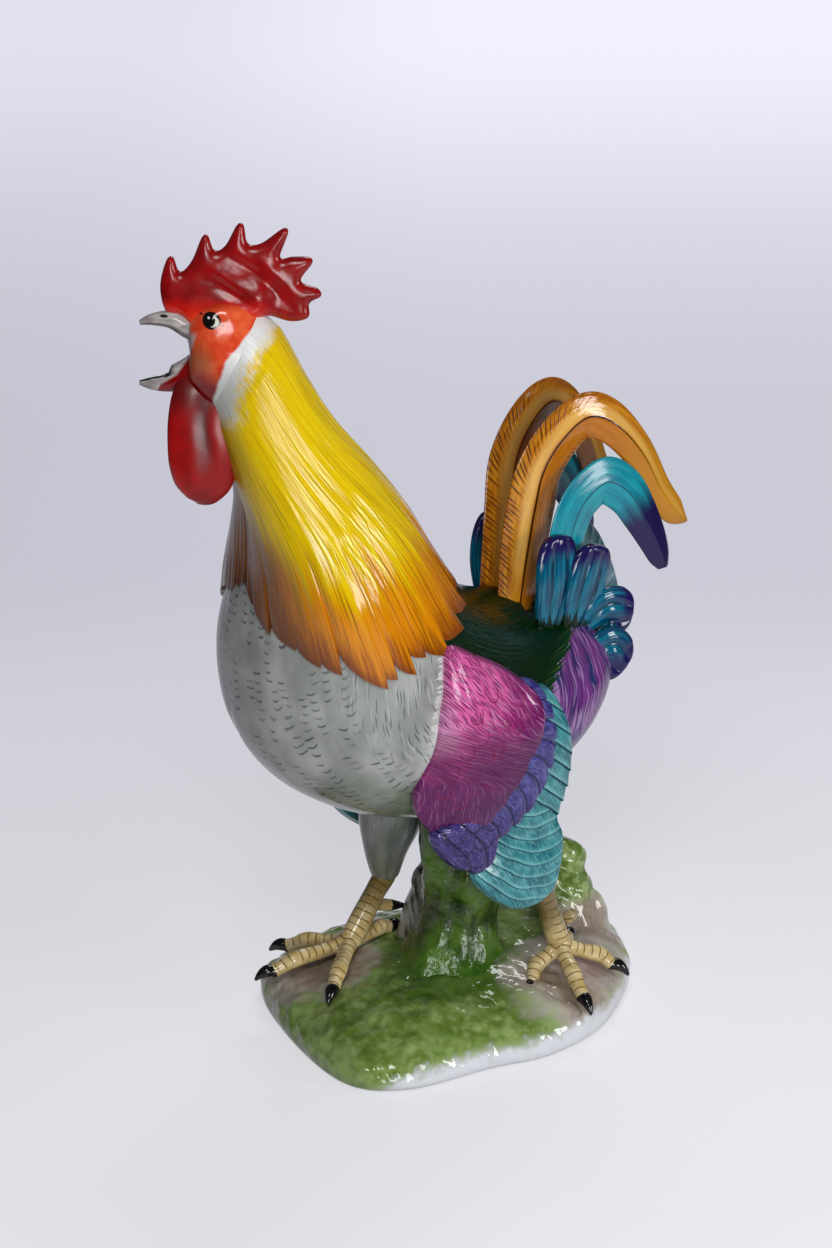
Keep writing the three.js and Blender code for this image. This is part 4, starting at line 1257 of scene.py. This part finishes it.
def blade(rows, sides, steps, section):
    """Rings of a feather on edge, and its flow: mm along, share across, mm to the tip."""
    ring = sweep(rows, (1, 0, 0), sides, steps, section)
    gaps = np.linalg.norm(np.diff(ring.mean(axis=1), axis=0), axis=1)
    gone = np.concatenate([[0], np.cumsum(gaps)])[:, None] + 0 * ring[..., 0]
    across = np.cos(turns(sides)) + 0 * gone
    return ring, pack(gone, across, gone[-1:] - gone)


def edge_profile(thick, power):
    """Half thickness round a blade's section: a power under 1 makes it fuller than an ellipse."""
    return np.sign(thick) * np.abs(thick) ** power


def outer_face(points, side):
    """1 on the side away from the bird's middle plane, from the ring's own middle."""
    middle = points.mean(axis=1, keepdims=True)
    return step((points[..., 0] - middle[..., 0]) * side, -0.2, 0.4)


def upper_vane(points):
    """1 on the half of a blade that lies outside its arch, from the arch's own middle."""
    rib = points.mean(axis=1, keepdims=True)
    middle = rib.mean(axis=0, keepdims=True)
    reach = np.linalg.norm((points - middle)[..., 1:], axis=-1)
    return step(reach - np.linalg.norm((rib - middle)[..., 1:], axis=-1), -0.6, 0.6)


def make_sickle(node, rows, side, material, roof):
    """Long arched feather with thin edges; roof is how high its rib stands."""
    rows = [[side * x, y, z, SICKLE_HALF_THICK, wide] for x, y, z, wide in rows]

    def section(t, angle):
        wide, thick = np.cos(angle), np.sin(angle)
        ridge = 0.5 + roof * (1 - np.abs(wide))
        return edge_profile(thick, 0.7) * ridge + 0 * t, wide + 0 * t

    ring, flow = blade(rows, 72, 220, section)
    mesh = grid(ring, outer=outer_face(ring, side), upper=upper_vane(ring), blade=flow)
    add_piece(node, mesh, material)


def gold_paint(word):
    p = Paint(word + "_gold_sickle_glaze")
    gone, across, left = p.vectors_of("blade")
    outer, upper = p.number_of("outer"), p.number_of("upper")
    streak = p.noise(gone / 14, across * 5, 1)
    p.base(streak, (178, 100, 12), (214, 146, 30))
    p.tint((1 - upper) * 0.7, 186, 106, 12)
    edge = (1 - abs(across)) * BLADE_WIDTH
    # Pale strip beside the rib on the outer vane: painted highlight, fading out near the root.
    highlight_strip = p.smooth(abs(across), 0.02, 0.16) * p.smooth(abs(across), 0.66, 0.3) * upper
    highlight_strip = highlight_strip * p.smooth(gone, 8, 40)
    p.tint(highlight_strip * 0.6, 246, 200, 112)
    rim = p.smooth(edge, 3, 0)
    p.tint(rim * 0.5, 146, 80, 10)
    slanted = gone - abs(across) * BLADE_WIDTH * 0.9
    barbs = p.strokes(slanted, edge, 2.3, 9, 0.46, 0.95, 101)
    reach = p.smooth(edge, 4 + upper * 3, 2) * p.smooth(left, 60, 95)
    p.tint(barbs * reach * 0.9, 70, 32, 8)
    rib = p.smooth(abs(across) * BLADE_WIDTH, 0.6, 0.35) * p.smooth(left, 18, 30)
    p.tint(rib, 58, 26, 8)
    tip = p.smooth(left, 70, 20)
    p.tint(tip * 0.55, 196, 140, 24)
    # Darker brown on the faces towards the bird's middle: partly a browner gold, partly painted shade
    # between the sickles.
    inner = p.mix(streak, rgb(96, 50, 18), rgb(142, 80, 30))
    p.cover(p.smooth(outer, 0.7, 0.3) * (0.85 - upper * 0.6), inner)
    return p.finish(0.09, barbs * reach * -0.6 + streak, 0.25)


def turquoise_paint(word):
    p = Paint(word + "_turquoise_sickle_glaze")
    gone, across, left = p.vectors_of("blade")
    streak = p.noise(gone / 20, across * 3, 1)
    p.base(streak, (6, 124, 146), (26, 160, 174))
    edge = (1 - abs(across)) * BLADE_WIDTH
    barbs = p.strokes(gone - abs(across) * BLADE_WIDTH * 0.8, edge, 1.9, 9, 0.26, 0.7, 111)
    p.tint(barbs * p.smooth(edge, 6, 1) * 0.3, 8, 84, 110)
    rib = p.smooth(abs(across) * BLADE_WIDTH, 0.5, 0.3)
    p.tint(rib * p.smooth(left, 15, 25) * 0.8, 10, 66, 92)
    navy = p.smooth(left + (streak - 0.5) * 10, 44, 26)
    p.tint(navy, 26, 18, 74)
    return p.finish(0.2, streak, 0.6)


def make_covert(node, corners, side):
    root, middle, tip = (on_side(np.array(c, float), side) for c in corners)
    rows = [
        [*root, 2.2, 3.6],
        [*(root + middle) / 2, 3.25, 8.4],
        [*middle, 3.25, 10.8],
        [*blend(middle, tip, 0.55), 3.25, 10.8],
        [*blend(middle, tip, 0.9), 3, 7.6],
        [*tip, 1.8, 1.8],
    ]

    def section(t, angle):
        wide, thick = np.cos(angle), np.sin(angle)
        flute = 1 - 0.3 * hump(np.abs(wide), COVERT_FLUTE, 0.14) * step(t, 0.97, 0.6)
        return edge_profile(thick, 0.8) * flute, wide + 0 * t

    ring, flow = blade(rows, 80, 110, section)
    add_piece(node, grid(ring, blade=flow), covert_paint(node))


def covert_paint(name):
    p = Paint(name + "_glaze")
    gone, across, left = p.vectors_of("blade")
    streak = p.noise(gone / 16, across * 5, 1)
    p.base(streak, (0, 66, 100), (4, 112, 140))
    groove = p.smooth(abs(abs(across) - COVERT_FLUTE) + (streak - 0.5) * 0.08, 0.1, 0.05)
    groove = groove * p.smooth(left, 6, 12)
    p.tint(groove * 0.8, 2, 30, 60)
    thin = p.strokes(across * 10, gone, 1.1, 14, 0.14, 0.3, 127)
    p.tint(thin * 0.5, 50, 160, 176)
    navy = p.smooth(left + abs(across) * -3 + (streak - 0.5) * 8, 12, 3)
    p.tint(navy, 28, 18, 82)
    hair = p.noise(across * 9, gone / 14, 3)
    p.tint(p.smooth(gone + (hair - 0.5) * 18, 11, 9.5), 0, 26, 6)
    return p.finish(0.1, groove * -0.8 + streak, 0.3)


FAN = [
    [44, 166], [48, 186], [54, 200], [65, 207], [76, 204], [84, 192], [90, 178], [92, 165], [84, 152],
    [66, 150],
]
FAN_THICK = 11
FAN_CENTRE = [66, 174]
FAN_ROOT = [40, 150]  # where its flutes meet


def make_fan():
    y, z, share = fill(rounded(FAN, 220), FAN_CENTRE, 70)
    spoke = np.arctan2(z - FAN_ROOT[1], y - FAN_ROOT[0])
    away = np.hypot(z - FAN_ROOT[1], y - FAN_ROOT[0])
    flutes = 0.56 * np.abs(np.sin(spoke * 9)) * step(share, 1, 0.8)
    half = FAN_THICK / 2 * np.sqrt(np.maximum(0, 1 - share**6)) - flutes
    half = np.maximum(half, 0.2)
    flow = pack(half, y, z, spoke, away)
    right = flow[::-1] * [-1, 1, 1, 1, 1]
    both = np.concatenate([flow, right])
    mesh = grid(both[..., :3], fan=both[..., [3, 4, 0]])
    add_piece("tail_fan", mesh, fan_paint())


def fan_paint():
    p = Paint("tail_fan_glaze")
    spoke, away, _ = p.vectors_of("fan")
    streak = p.noise(spoke * 18, away / 16, 1)
    p.base(streak, (62, 112, 126), (140, 172, 178))
    low = p.smooth(away, 48, 30)
    p.tint(low * 0.6, 176, 186, 188)
    lines = p.strokes(spoke * 40, away, 2.2, 30, 0.3, 0.7, 131)
    p.tint(lines * 0.6, 24, 70, 90)
    return p.finish(0.12, streak, 0.25)


# Legs: a thigh's rows are X, Y, Z and radius; each toe has a knuckle and a tip

RIGHT_LEG = {
    "thigh": [
        [-24, -6, 118, 16], [-25, -12, 98, 17], [-26, -14.5, 80, 14.5], [-27, -16, 66, 10],
        [-27.5, -16, 54, 6.6], [-27.5, -16, 51.5, 5],
    ],
    "ankle": [-27.5, -16, 53],
    "foot": [-22, -40, 31],
    "toes": [
        [[-26, -66, 27], [-32, -84, 20]],
        [[-37, -52, 27], [-51, -63, 20]],
        [[-7, -57, 27], [5, -72, 20]],
        [[-26, -20, 28], [-27, -7, 24]],
    ],
    "spur": [[-26, -22, 40], [-24, -8, 36]],
}
LEFT_LEG = {
    "thigh": [
        [32, -2, 118, 15], [33, 7, 98, 12.5], [34, 14.5, 80, 10], [34.8, 19.6, 66, 7.6],
        [35, 21.2, 60, 6.6], [35, 21.2, 57.5, 5],
    ],
    "ankle": [35, 21.2, 59],
    "foot": [41, 27, 34],
    "toes": [
        [[40, 15, 25], [50, 0, 17]],
        [[56, 22, 25], [73, 18, 14]],
        [[49, 43, 25], [59, 52, 16]],
        [[32, 38, 27], [26, 47, 25]],
    ],
    "spur": [[38, 34, 42], [34, 43, 40]],
}
TOE_RADIUS = 3.8
SHANK_RADIUS = 5.4
PLATE = 3.6  # length of one horny plate on the toes
CLAW_LENGTH = 9


def tube(rows, sides=16, steps=20):
    return grid(sweep(round_rows(rows), (0.02, 0.01, 1), sides, steps))


def make_foot(word, leg):
    ankle, foot = (np.array(leg[k], float) for k in ("ankle", "foot"))
    sole = foot - [0, 0, 2]
    shank = [
        [*(ankle + [0, 0, 5]), SHANK_RADIUS * 0.8],
        [*ankle, SHANK_RADIUS * 0.95],
        [*blend(ankle, foot, 0.33), SHANK_RADIUS * 0.86],
        [*(blend(ankle, foot, 0.66) - [0, 0, 1]), SHANK_RADIUS * 0.95],
        [*sole, SHANK_RADIUS * 0.95],
    ]
    lumps = [grid(sweep(round_rows(shank), (1, 0, 0), 24, 30))]
    paths = [np.array(shank)[:, :3]]
    claws = []
    for knuckle, tip in np.array(leg["toes"], float):
        root = blend(tip, knuckle, min(0.6, CLAW_LENGTH / np.linalg.norm(tip - knuckle)))
        toe = toe_rows(sole, knuckle, root, tip)
        lumps += [tube(toe), tube(claw_rows(root, tip), 14, 12)]
        paths.append(np.array(toe)[:-1, :3])
        claws.append((root, tip))
    root, tip = np.array(leg["spur"], float)
    lumps.append(tube([[*root, 3], [*blend(root, tip, 0.5), 2.6], [*tip, 1.1]], 14, 12))
    skin = clay(lumps, 0.7, 3)
    spot = vertices(skin)
    traced = [along_path(spot, path) for path in paths]
    closest = np.argmin([away for _, away, _ in traced], axis=0)
    reach = np.choose(closest, [gone for gone, _, _ in traced])
    high = spot[:, 2] - np.choose(closest, [nearest[:, 2] for _, _, nearest in traced])
    black = past_root(spot, root, tip, (6.4, 7.2), (5.5, 4.5))
    for root, tip in claws:
        black = np.maximum(black, past_root(spot, root, tip, (-1, -0.2), (7, 5.5)))
    add_values(skin, "toe", pack(reach, high, black))
    add_piece(word + "_foot", skin, foot_paint(word))


def toe_rows(sole, knuckle, claw_root, tip):
    return [
        [*sole, TOE_RADIUS * 1.1],
        [*blend(sole, knuckle, 0.5), TOE_RADIUS * 0.88],
        [*(knuckle + [0, 0, 0.4]), TOE_RADIUS],
        [*(blend(knuckle, claw_root, 0.55) + [0, 0, 0.2]), TOE_RADIUS * 0.82],
        [*claw_root, TOE_RADIUS * 0.82],
        [*blend(claw_root, tip, 0.16), TOE_RADIUS * 0.5],
    ]


def claw_rows(root, tip):
    arch = [0, 0, 1.6]
    return [
        [*blend(root, tip, -0.1), 2.4],
        [*(blend(root, tip, 0.3) + arch), 2.9],
        [*(blend(root, tip, 0.65) + arch), 2.1],
        [*tip, 0.7],
    ]


def past_root(spot, root, tip, ahead_of_root, beside_line):
    """1 on points past the root of a claw or spur and close to its line."""
    way = unit(tip - root)
    ahead = (spot - root) @ way
    beside = np.linalg.norm(spot - root - ahead[:, None] * way, axis=1)
    return step(ahead, *ahead_of_root) * step(beside, *beside_line)


def foot_paint(word):
    p = Paint(word + "_foot_glaze")
    reach, high, claw = p.vectors_of("toe")
    x, y, z = p.place()
    cloud = p.noise(x / 5, y / 5, z / 5)
    p.base(cloud, (192, 164, 104), (226, 206, 156))
    cell = reach / PLATE + (p.noise(x / 9, y / 9, z / 9) - 0.5) * 0.7
    line = abs(cell - p.floor(cell) - 0.5)
    upper = p.smooth(high, -0.8, 1)
    drawn = p.smooth(line, 0.4, 0.47) * upper
    p.tint(drawn * 0.8, 112, 86, 26)
    # Darker on the undersides of the toes and shank: painted shade.
    under = p.smooth(high, 0.5, -2.5)
    p.tint(under * 0.4, 140, 112, 60)
    p.tint(p.smooth(z, 34, 50) * 0.8, 96, 78, 30)
    p.tint(p.smooth(claw, 0.4, 0.6), 12, 11, 13)
    return p.finish(0.1, drawn * -1, 0.4)


def make_thigh(word, leg):
    sides, steps = 120, 120
    ring = sweep(round_rows(leg["thigh"]), (1, 0, 0), sides, steps)
    middle = ring.mean(axis=1, keepdims=True)
    angle = turns(sides)[None, :]
    t = np.linspace(0, 1, steps + 1)[:, None]
    puff = 1 + 0.03 * noise2(angle * 12 / TURN, t * 5, 17, 12)
    ring = middle + (ring - middle) * puff[..., None]
    z = ring[..., 2]
    mesh = grid(ring, flow=pack(angle * 13 + 0 * t, z, 0 * z))
    add_piece(word + "_thigh", mesh, thigh_paint(word))


def thigh_paint(word):
    p = Paint(word + "_thigh_glaze")
    around, z, _ = p.vectors_of("flow")
    cloud = p.noise(around / 9, z / 20)
    p.base(cloud, (104, 110, 106), (152, 156, 152))
    ticks = p.strokes(around + (cloud - 0.5) * 5, z, 1.9, 5, 0.28, 0.4, 141)
    p.tint(ticks * 0.6, 88, 94, 94)
    low = p.smooth(z, 74, 60)
    p.tint(low * 0.5, 96, 92, 70)
    return p.finish(0.14, cloud, 0.2)


# Mound and stump

MOUND_CENTRE = [5, 2]
MOUND_OUTLINE = [
    [-52, -66], [-15, -82], [35, -88], [57, -70], [65, -31], [72, -4], [68, 28], [49, 60], [29, 78],
    [6, 87], [-20, 80], [-46, 52], [-60, 10], [-63, -32],
]
MOUND_PROFILE = [  # share of the outline, height
    [0.93, 0], [0.985, 1.2], [1, 4], [0.995, 8], [0.965, 12.5], [0.88, 17], [0.74, 21], [0.56, 24],
    [0.36, 26], [0.16, 27],
]
# Lumps: X, Y, Z and radius; the stump's radius is a share of STUMP_RADIUS
ROCK = [
    [6, 60, 10, 20], [5, 60, 22, 16], [4.5, 59, 36, 13], [5, 58, 48, 11], [6, 57, 56, 7],
    [6, 57, 59, 2],
]
LOW_ROCK = [[11, 72, 8, 11], [11, 71, 18, 9.5], [11, 70, 27, 8], [11, 70, 31, 5.5], [11, 70, 33, 2]]
BARE_SPOTS = [[-26, -52, 27], [52, 22, 27], [20, 62, 20], [42, 44, 22]]  # X, Y and radius
STUMP_RADIUS = 17
STUMP = [
    [9, -7, 16, 1.75], [9, -6, 24, 1.4], [9, -5, 33, 1.12], [9, -4, 45, 0.97], [9, -4, 60, 0.95],
    [8, -3, 76, 1], [6, 0, 92, 1.1], [3, 4, 108, 1.1], [2, 6, 122, 1],
]
BUTTRESS = [
    [2, 4, 94, 8], [-5, 0, 68, 8.5], [-12, -3, 46, 9.5], [-15, -5, 22, 11.5], [-15, -5, 14, 11.5],
]


def make_mound():
    outline = rounded(MOUND_OUTLINE, 200)
    profile = through(MOUND_PROFILE)(np.linspace(0, 1, 60))
    rings = MOUND_CENTRE + (outline - MOUND_CENTRE)[None] * profile[:, 0, None, None]
    heights = profile[:, 1, None, None] + 0 * rings[..., :1]
    lumps = [grid(np.concatenate([rings, heights], -1))]
    lumps += [grid(sweep(round_rows(rows), (1, 0, 0), 40, 30)) for rows in (ROCK, LOW_ROCK)]
    skin = clay(lumps, 1, 4)
    spot = vertices(skin)
    x, y, z = spot.T
    rough = noise2(x / 13, y / 13, 21) + 0.6 * noise2(x / 6, y / 6 + z / 6, 22)
    rough = rough + 0.35 * noise2(x / 3 + z / 3, y / 3, 23)
    rough = rough + 1.4 * step(z, 28, 34) * noise2(x / 8 + z / 8, y / 8 + z / 6, 24)
    moved = spot + read_points(skin, "normal") * (rough * step(z, 3, 9))[:, None]
    moved[:, 2] = np.maximum(moved[:, 2], 0)
    move_to(skin, moved)
    add_piece("mound", skin, mound_paint())


def mound_paint():
    p = Paint("mound_glaze")
    x, y, z = p.place()
    cloud = p.noise(x / 16, y / 16, z / 16, 3)
    grain = p.noise(x / 4, y / 4, z / 4, 3)
    p.base(cloud, (104, 130, 50), (140, 164, 94), 0.35, 0.65)
    p.tint(p.smooth(grain, 0.46, 0.74) * 0.45, 172, 190, 128)
    p.tint(p.smooth(grain, 0.48, 0.3) * 0.4, 78, 108, 28)
    near_stump = p.smooth(p.distance(x - 11, y + 14) + (cloud - 0.5) * 26, 42, 22)
    p.tint(near_stump * 0.8, 58, 92, 20)
    for fx, fy, radius in BARE_SPOTS:
        near = p.distance(x - fx, y - fy) + (cloud - 0.5) * 30 + (grain - 0.5) * 8
        # Taupe patches, paler towards their edges; the paler part is partly painted highlight.
        paler = p.smooth(near, radius - 16, radius + 2)
        taupe = p.mix(paler, rgb(150, 128, 120), rgb(204, 194, 190))
        p.cover(p.smooth(near, radius + 4, radius - 8) * 0.85, taupe)
    rock = p.smooth(z, 30, 38) * p.smooth(y, 40, 50)
    p.cover(rock, p.mix(p.smooth(grain, 0.4, 0.6), rgb(96, 124, 50), rgb(152, 172, 108)))
    left_side = p.smooth(x * 0.62 + y * 0.79, 0, -60)
    rim = z + (cloud - 0.5) * 12 + (grain - 0.5) * 5 + left_side * 13
    p.tint(p.smooth(rim, 13, 6.5), 222, 224, 230)
    return p.finish(0.07, cloud + grain * 0.15, 0.8)


def make_stump():
    def section(t, angle):
        bark = 1 + 0.05 * np.cos(5 * angle + 3 * t) + 0.02 * np.cos(9 * angle - 5 * t)
        return np.cos(angle) * bark, np.sin(angle) * bark

    rows = round_rows([x, y, z, STUMP_RADIUS * share] for x, y, z, share in STUMP)
    skin = clay([grid(sweep(rows, (1, 0, 0), 90, 90, section)), tube(BUTTRESS, 30, 40)], 0.8, 6)
    spot = vertices(skin)
    x, y, z = spot.T
    turn = np.arctan2(y + 4, x - 8) / TURN
    bark = 1.1 * noise2(turn * 9, z / 11, 31, 9) + 0.5 * noise2(turn * 16, z / 6, 33, 16)
    bark = bark + 0.4 * noise2(turn * 28, z / 4, 34, 28)
    move_to(skin, spot + read_points(skin, "normal") * bark[:, None])
    add_piece("tree_stump", skin, stump_paint())


def stump_paint():
    p = Paint("tree_stump_glaze")
    x, y, z = p.place()
    cloud = p.noise(x / 12, y / 12, z / 14, 3)
    p.base(cloud, (26, 48, 6), (84, 116, 40), 0.35, 0.65)
    low = p.smooth(z, 46, 26)
    p.tint(low * 0.5, 60, 104, 18)
    # Dark grey with black streaks on the stump's back: partly bark streaks, partly painted shade.
    back = p.smooth(x * 0.9 - y * 0.43 + (cloud - 0.5) * 12, 4, -6) * p.smooth(z, 16, 26)
    streaks = p.noise((x * 0.5 + y) / 2.6, z / 22, 2, 3)
    grey = p.mix(p.smooth(streaks, 0.42, 0.56), rgb(22, 23, 24), rgb(146, 146, 142))
    p.cover(back, grey)
    lumps = p.noise(x / 4, y / 4, z / 5, 8)
    return p.finish(0.1, cloud + lumps * 0.7, 1.2)


# Camera, floor and light

AZIMUTH, ELEVATION = 52, 21.5
DISTANCE = 1300
FOCAL_PIXELS = 2925
PICTURE = (832, 1248)
ORIGIN_PIXEL = (452, 992)  # where the frame's origin is seen


def direction(azimuth, elevation):
    """From the figure towards a place; azimuth 0 is in front of the bird."""
    a, e = math.radians(azimuth), math.radians(elevation)
    return Vector((math.sin(a) * math.cos(e), -math.cos(a) * math.cos(e), math.sin(e)))


def camera_axes():
    back = direction(AZIMUTH, ELEVATION)
    a = math.radians(AZIMUTH)
    right = Vector((math.cos(a), math.sin(a), 0))
    return right, back.cross(right), back


def add_camera():
    right, up, back = camera_axes()
    data = bpy.data.cameras.new("camera")
    data.sensor_width = 36
    data.lens = FOCAL_PIXELS / PICTURE[1] * data.sensor_width
    data.clip_end = 50
    camera = add_object("camera", data)
    per_pixel = DISTANCE / FOCAL_PIXELS
    aside_by = (ORIGIN_PIXEL[0] - PICTURE[0] / 2) * per_pixel
    below_by = (ORIGIN_PIXEL[1] - PICTURE[1] / 2) * per_pixel
    place = back * DISTANCE - right * aside_by + up * below_by
    turn = Matrix((right, up, back)).transposed().to_4x4()
    camera.matrix_world = Matrix.Translation(place * MM) @ turn
    bpy.context.scene.camera = camera


FLOOR_RADIUS = 7  # metres


def add_floor():
    """Pale sheet that shades back as in the picture; reflections see little of it."""
    angle = turns(96)
    corners = FLOOR_RADIUS * pack(np.cos(angle), np.sin(angle), 0)
    mesh = bpy.data.meshes.new("floor")
    mesh.from_pydata(corners.tolist(), [], [list(range(len(corners)))])
    mesh.materials.append(floor_paint())
    add_object("floor", mesh)


def floor_paint():
    p = Paint("floor_paint")
    ray = p.node("LightPath")
    kinds = ("Camera", "Glossy", "Transmission")
    camera, glossy, through_glass = (Wire(p, ray.outputs[f"Is {kind} Ray"]) for kind in kinds)
    watched = p.most(p.most(camera, glossy), through_glass)
    x, y, _ = p.place()
    right, _, back = camera_axes()
    ground = Vector((back.x, back.y)).normalized()
    behind = x * -ground.x - y * ground.y
    beside = x * right.x + y * right.y
    p.base(behind, (250, 250, 255), (203, 203, 215), -150, 560)
    p.tint(p.smooth(behind, 750, 2400), 242, 240, 255)
    # Darker towards the left: painted shade on the backdrop.
    p.tint(p.smooth(-beside, -60, 380) * 0.3, 180, 180, 192)
    near = p.smooth(abs(beside), 900, 450) * p.smooth(behind, -700, -380)
    sky = p.mix(p.most(camera, near * 0.72), rgb(58, 58, 64), p.colour)
    p.colour = p.mix(watched, rgb(140, 140, 146), rgb(250, 250, 255))
    p.finish(0.9)
    p.shader.inputs["Specular IOR Level"].default_value = 0
    glow = p.node("Emission", sky)
    far = p.smooth(p.distance(x, y), 190, 480)
    both = p.node("MixShader", watched * (far * 0.38 + 0.62))
    p.tree.links.new(p.shader.outputs[0], both.inputs[1])
    p.tree.links.new(glow.outputs[0], both.inputs[2])
    p.tree.links.new(both.outputs[0], p.tree.nodes["Material Output"].inputs["Surface"])
    return p.material


WORLD_LIGHT = 0.1
MIDDLE = Vector((0, 0, 0.18))  # of the figure, in metres
# Lamps: name, azimuth, elevation, distance in metres, width and height, watts
LAMPS = [
    ["front window", 66, 2, 1.6, (0.6, 0.6), 11],
    ["side window", 118, 4, 1.6, (0.36, 0.65), 9],
    ["upper window", 45, 42, 1.7, (0.5, 0.4), 8],
    ["back light", -142, 50, 1.5, (0.6, 0.45), 6],
]


def add_lamp(name, azimuth, elevation, distance, size, power):
    """Lamp with a square face that looks at the figure's middle."""
    data = bpy.data.lights.new(name, "AREA")
    data.shape = "RECTANGLE"
    data.size, data.size_y = size
    data.energy = power
    lamp = add_object(name, data)
    lamp.location = MIDDLE + direction(azimuth, elevation) * distance
    lamp.rotation_euler = (MIDDLE - lamp.location).to_track_quat("-Z", "Y").to_euler()


def add_light():
    world = bpy.data.worlds.new("studio")
    bpy.context.scene.world = world
    world.use_nodes = True
    background = world.node_tree.nodes["Background"]
    background.inputs["Color"].default_value = (0.93, 0.94, 1, 1)
    background.inputs["Strength"].default_value = WORLD_LIGHT
    for lamp in LAMPS:
        add_lamp(*lamp)


def build():
    add_camera()
    add_floor()
    add_light()
    make_trunk()
    make_hackle()
    make_head()
    make_comb()
    make_beak("upper_beak", UPPER_BEAK, -1, 0.05)
    make_beak("lower_beak", LOWER_BEAK, 1, 0.4)
    make_fan()
    make_mound()
    make_stump()
    for side, word, leg in ((1, "left", LEFT_LEG), (-1, "right", RIGHT_LEG)):
        make_wattle(side, word)
        make_wing_shoulder(side, word)
        make_wing_band(side, word)
        make_wing_flights(side, word)
        make_sickle(word + "_gold_sickle", GOLD_SICKLE, side, gold_paint(word), 0.7)
        make_sickle(word + "_turquoise_sickle", TURQUOISE_SICKLE, side,
                    turquoise_paint(word), 0.6)
        for k, corners in enumerate(COVERTS):
            make_covert(f"{word}_tail_covert_{k + 1}", corners, side)
        make_thigh(word, leg)
        make_foot(word, leg)
    bpy.context.scene.view_settings.view_transform = "Standard"


build()
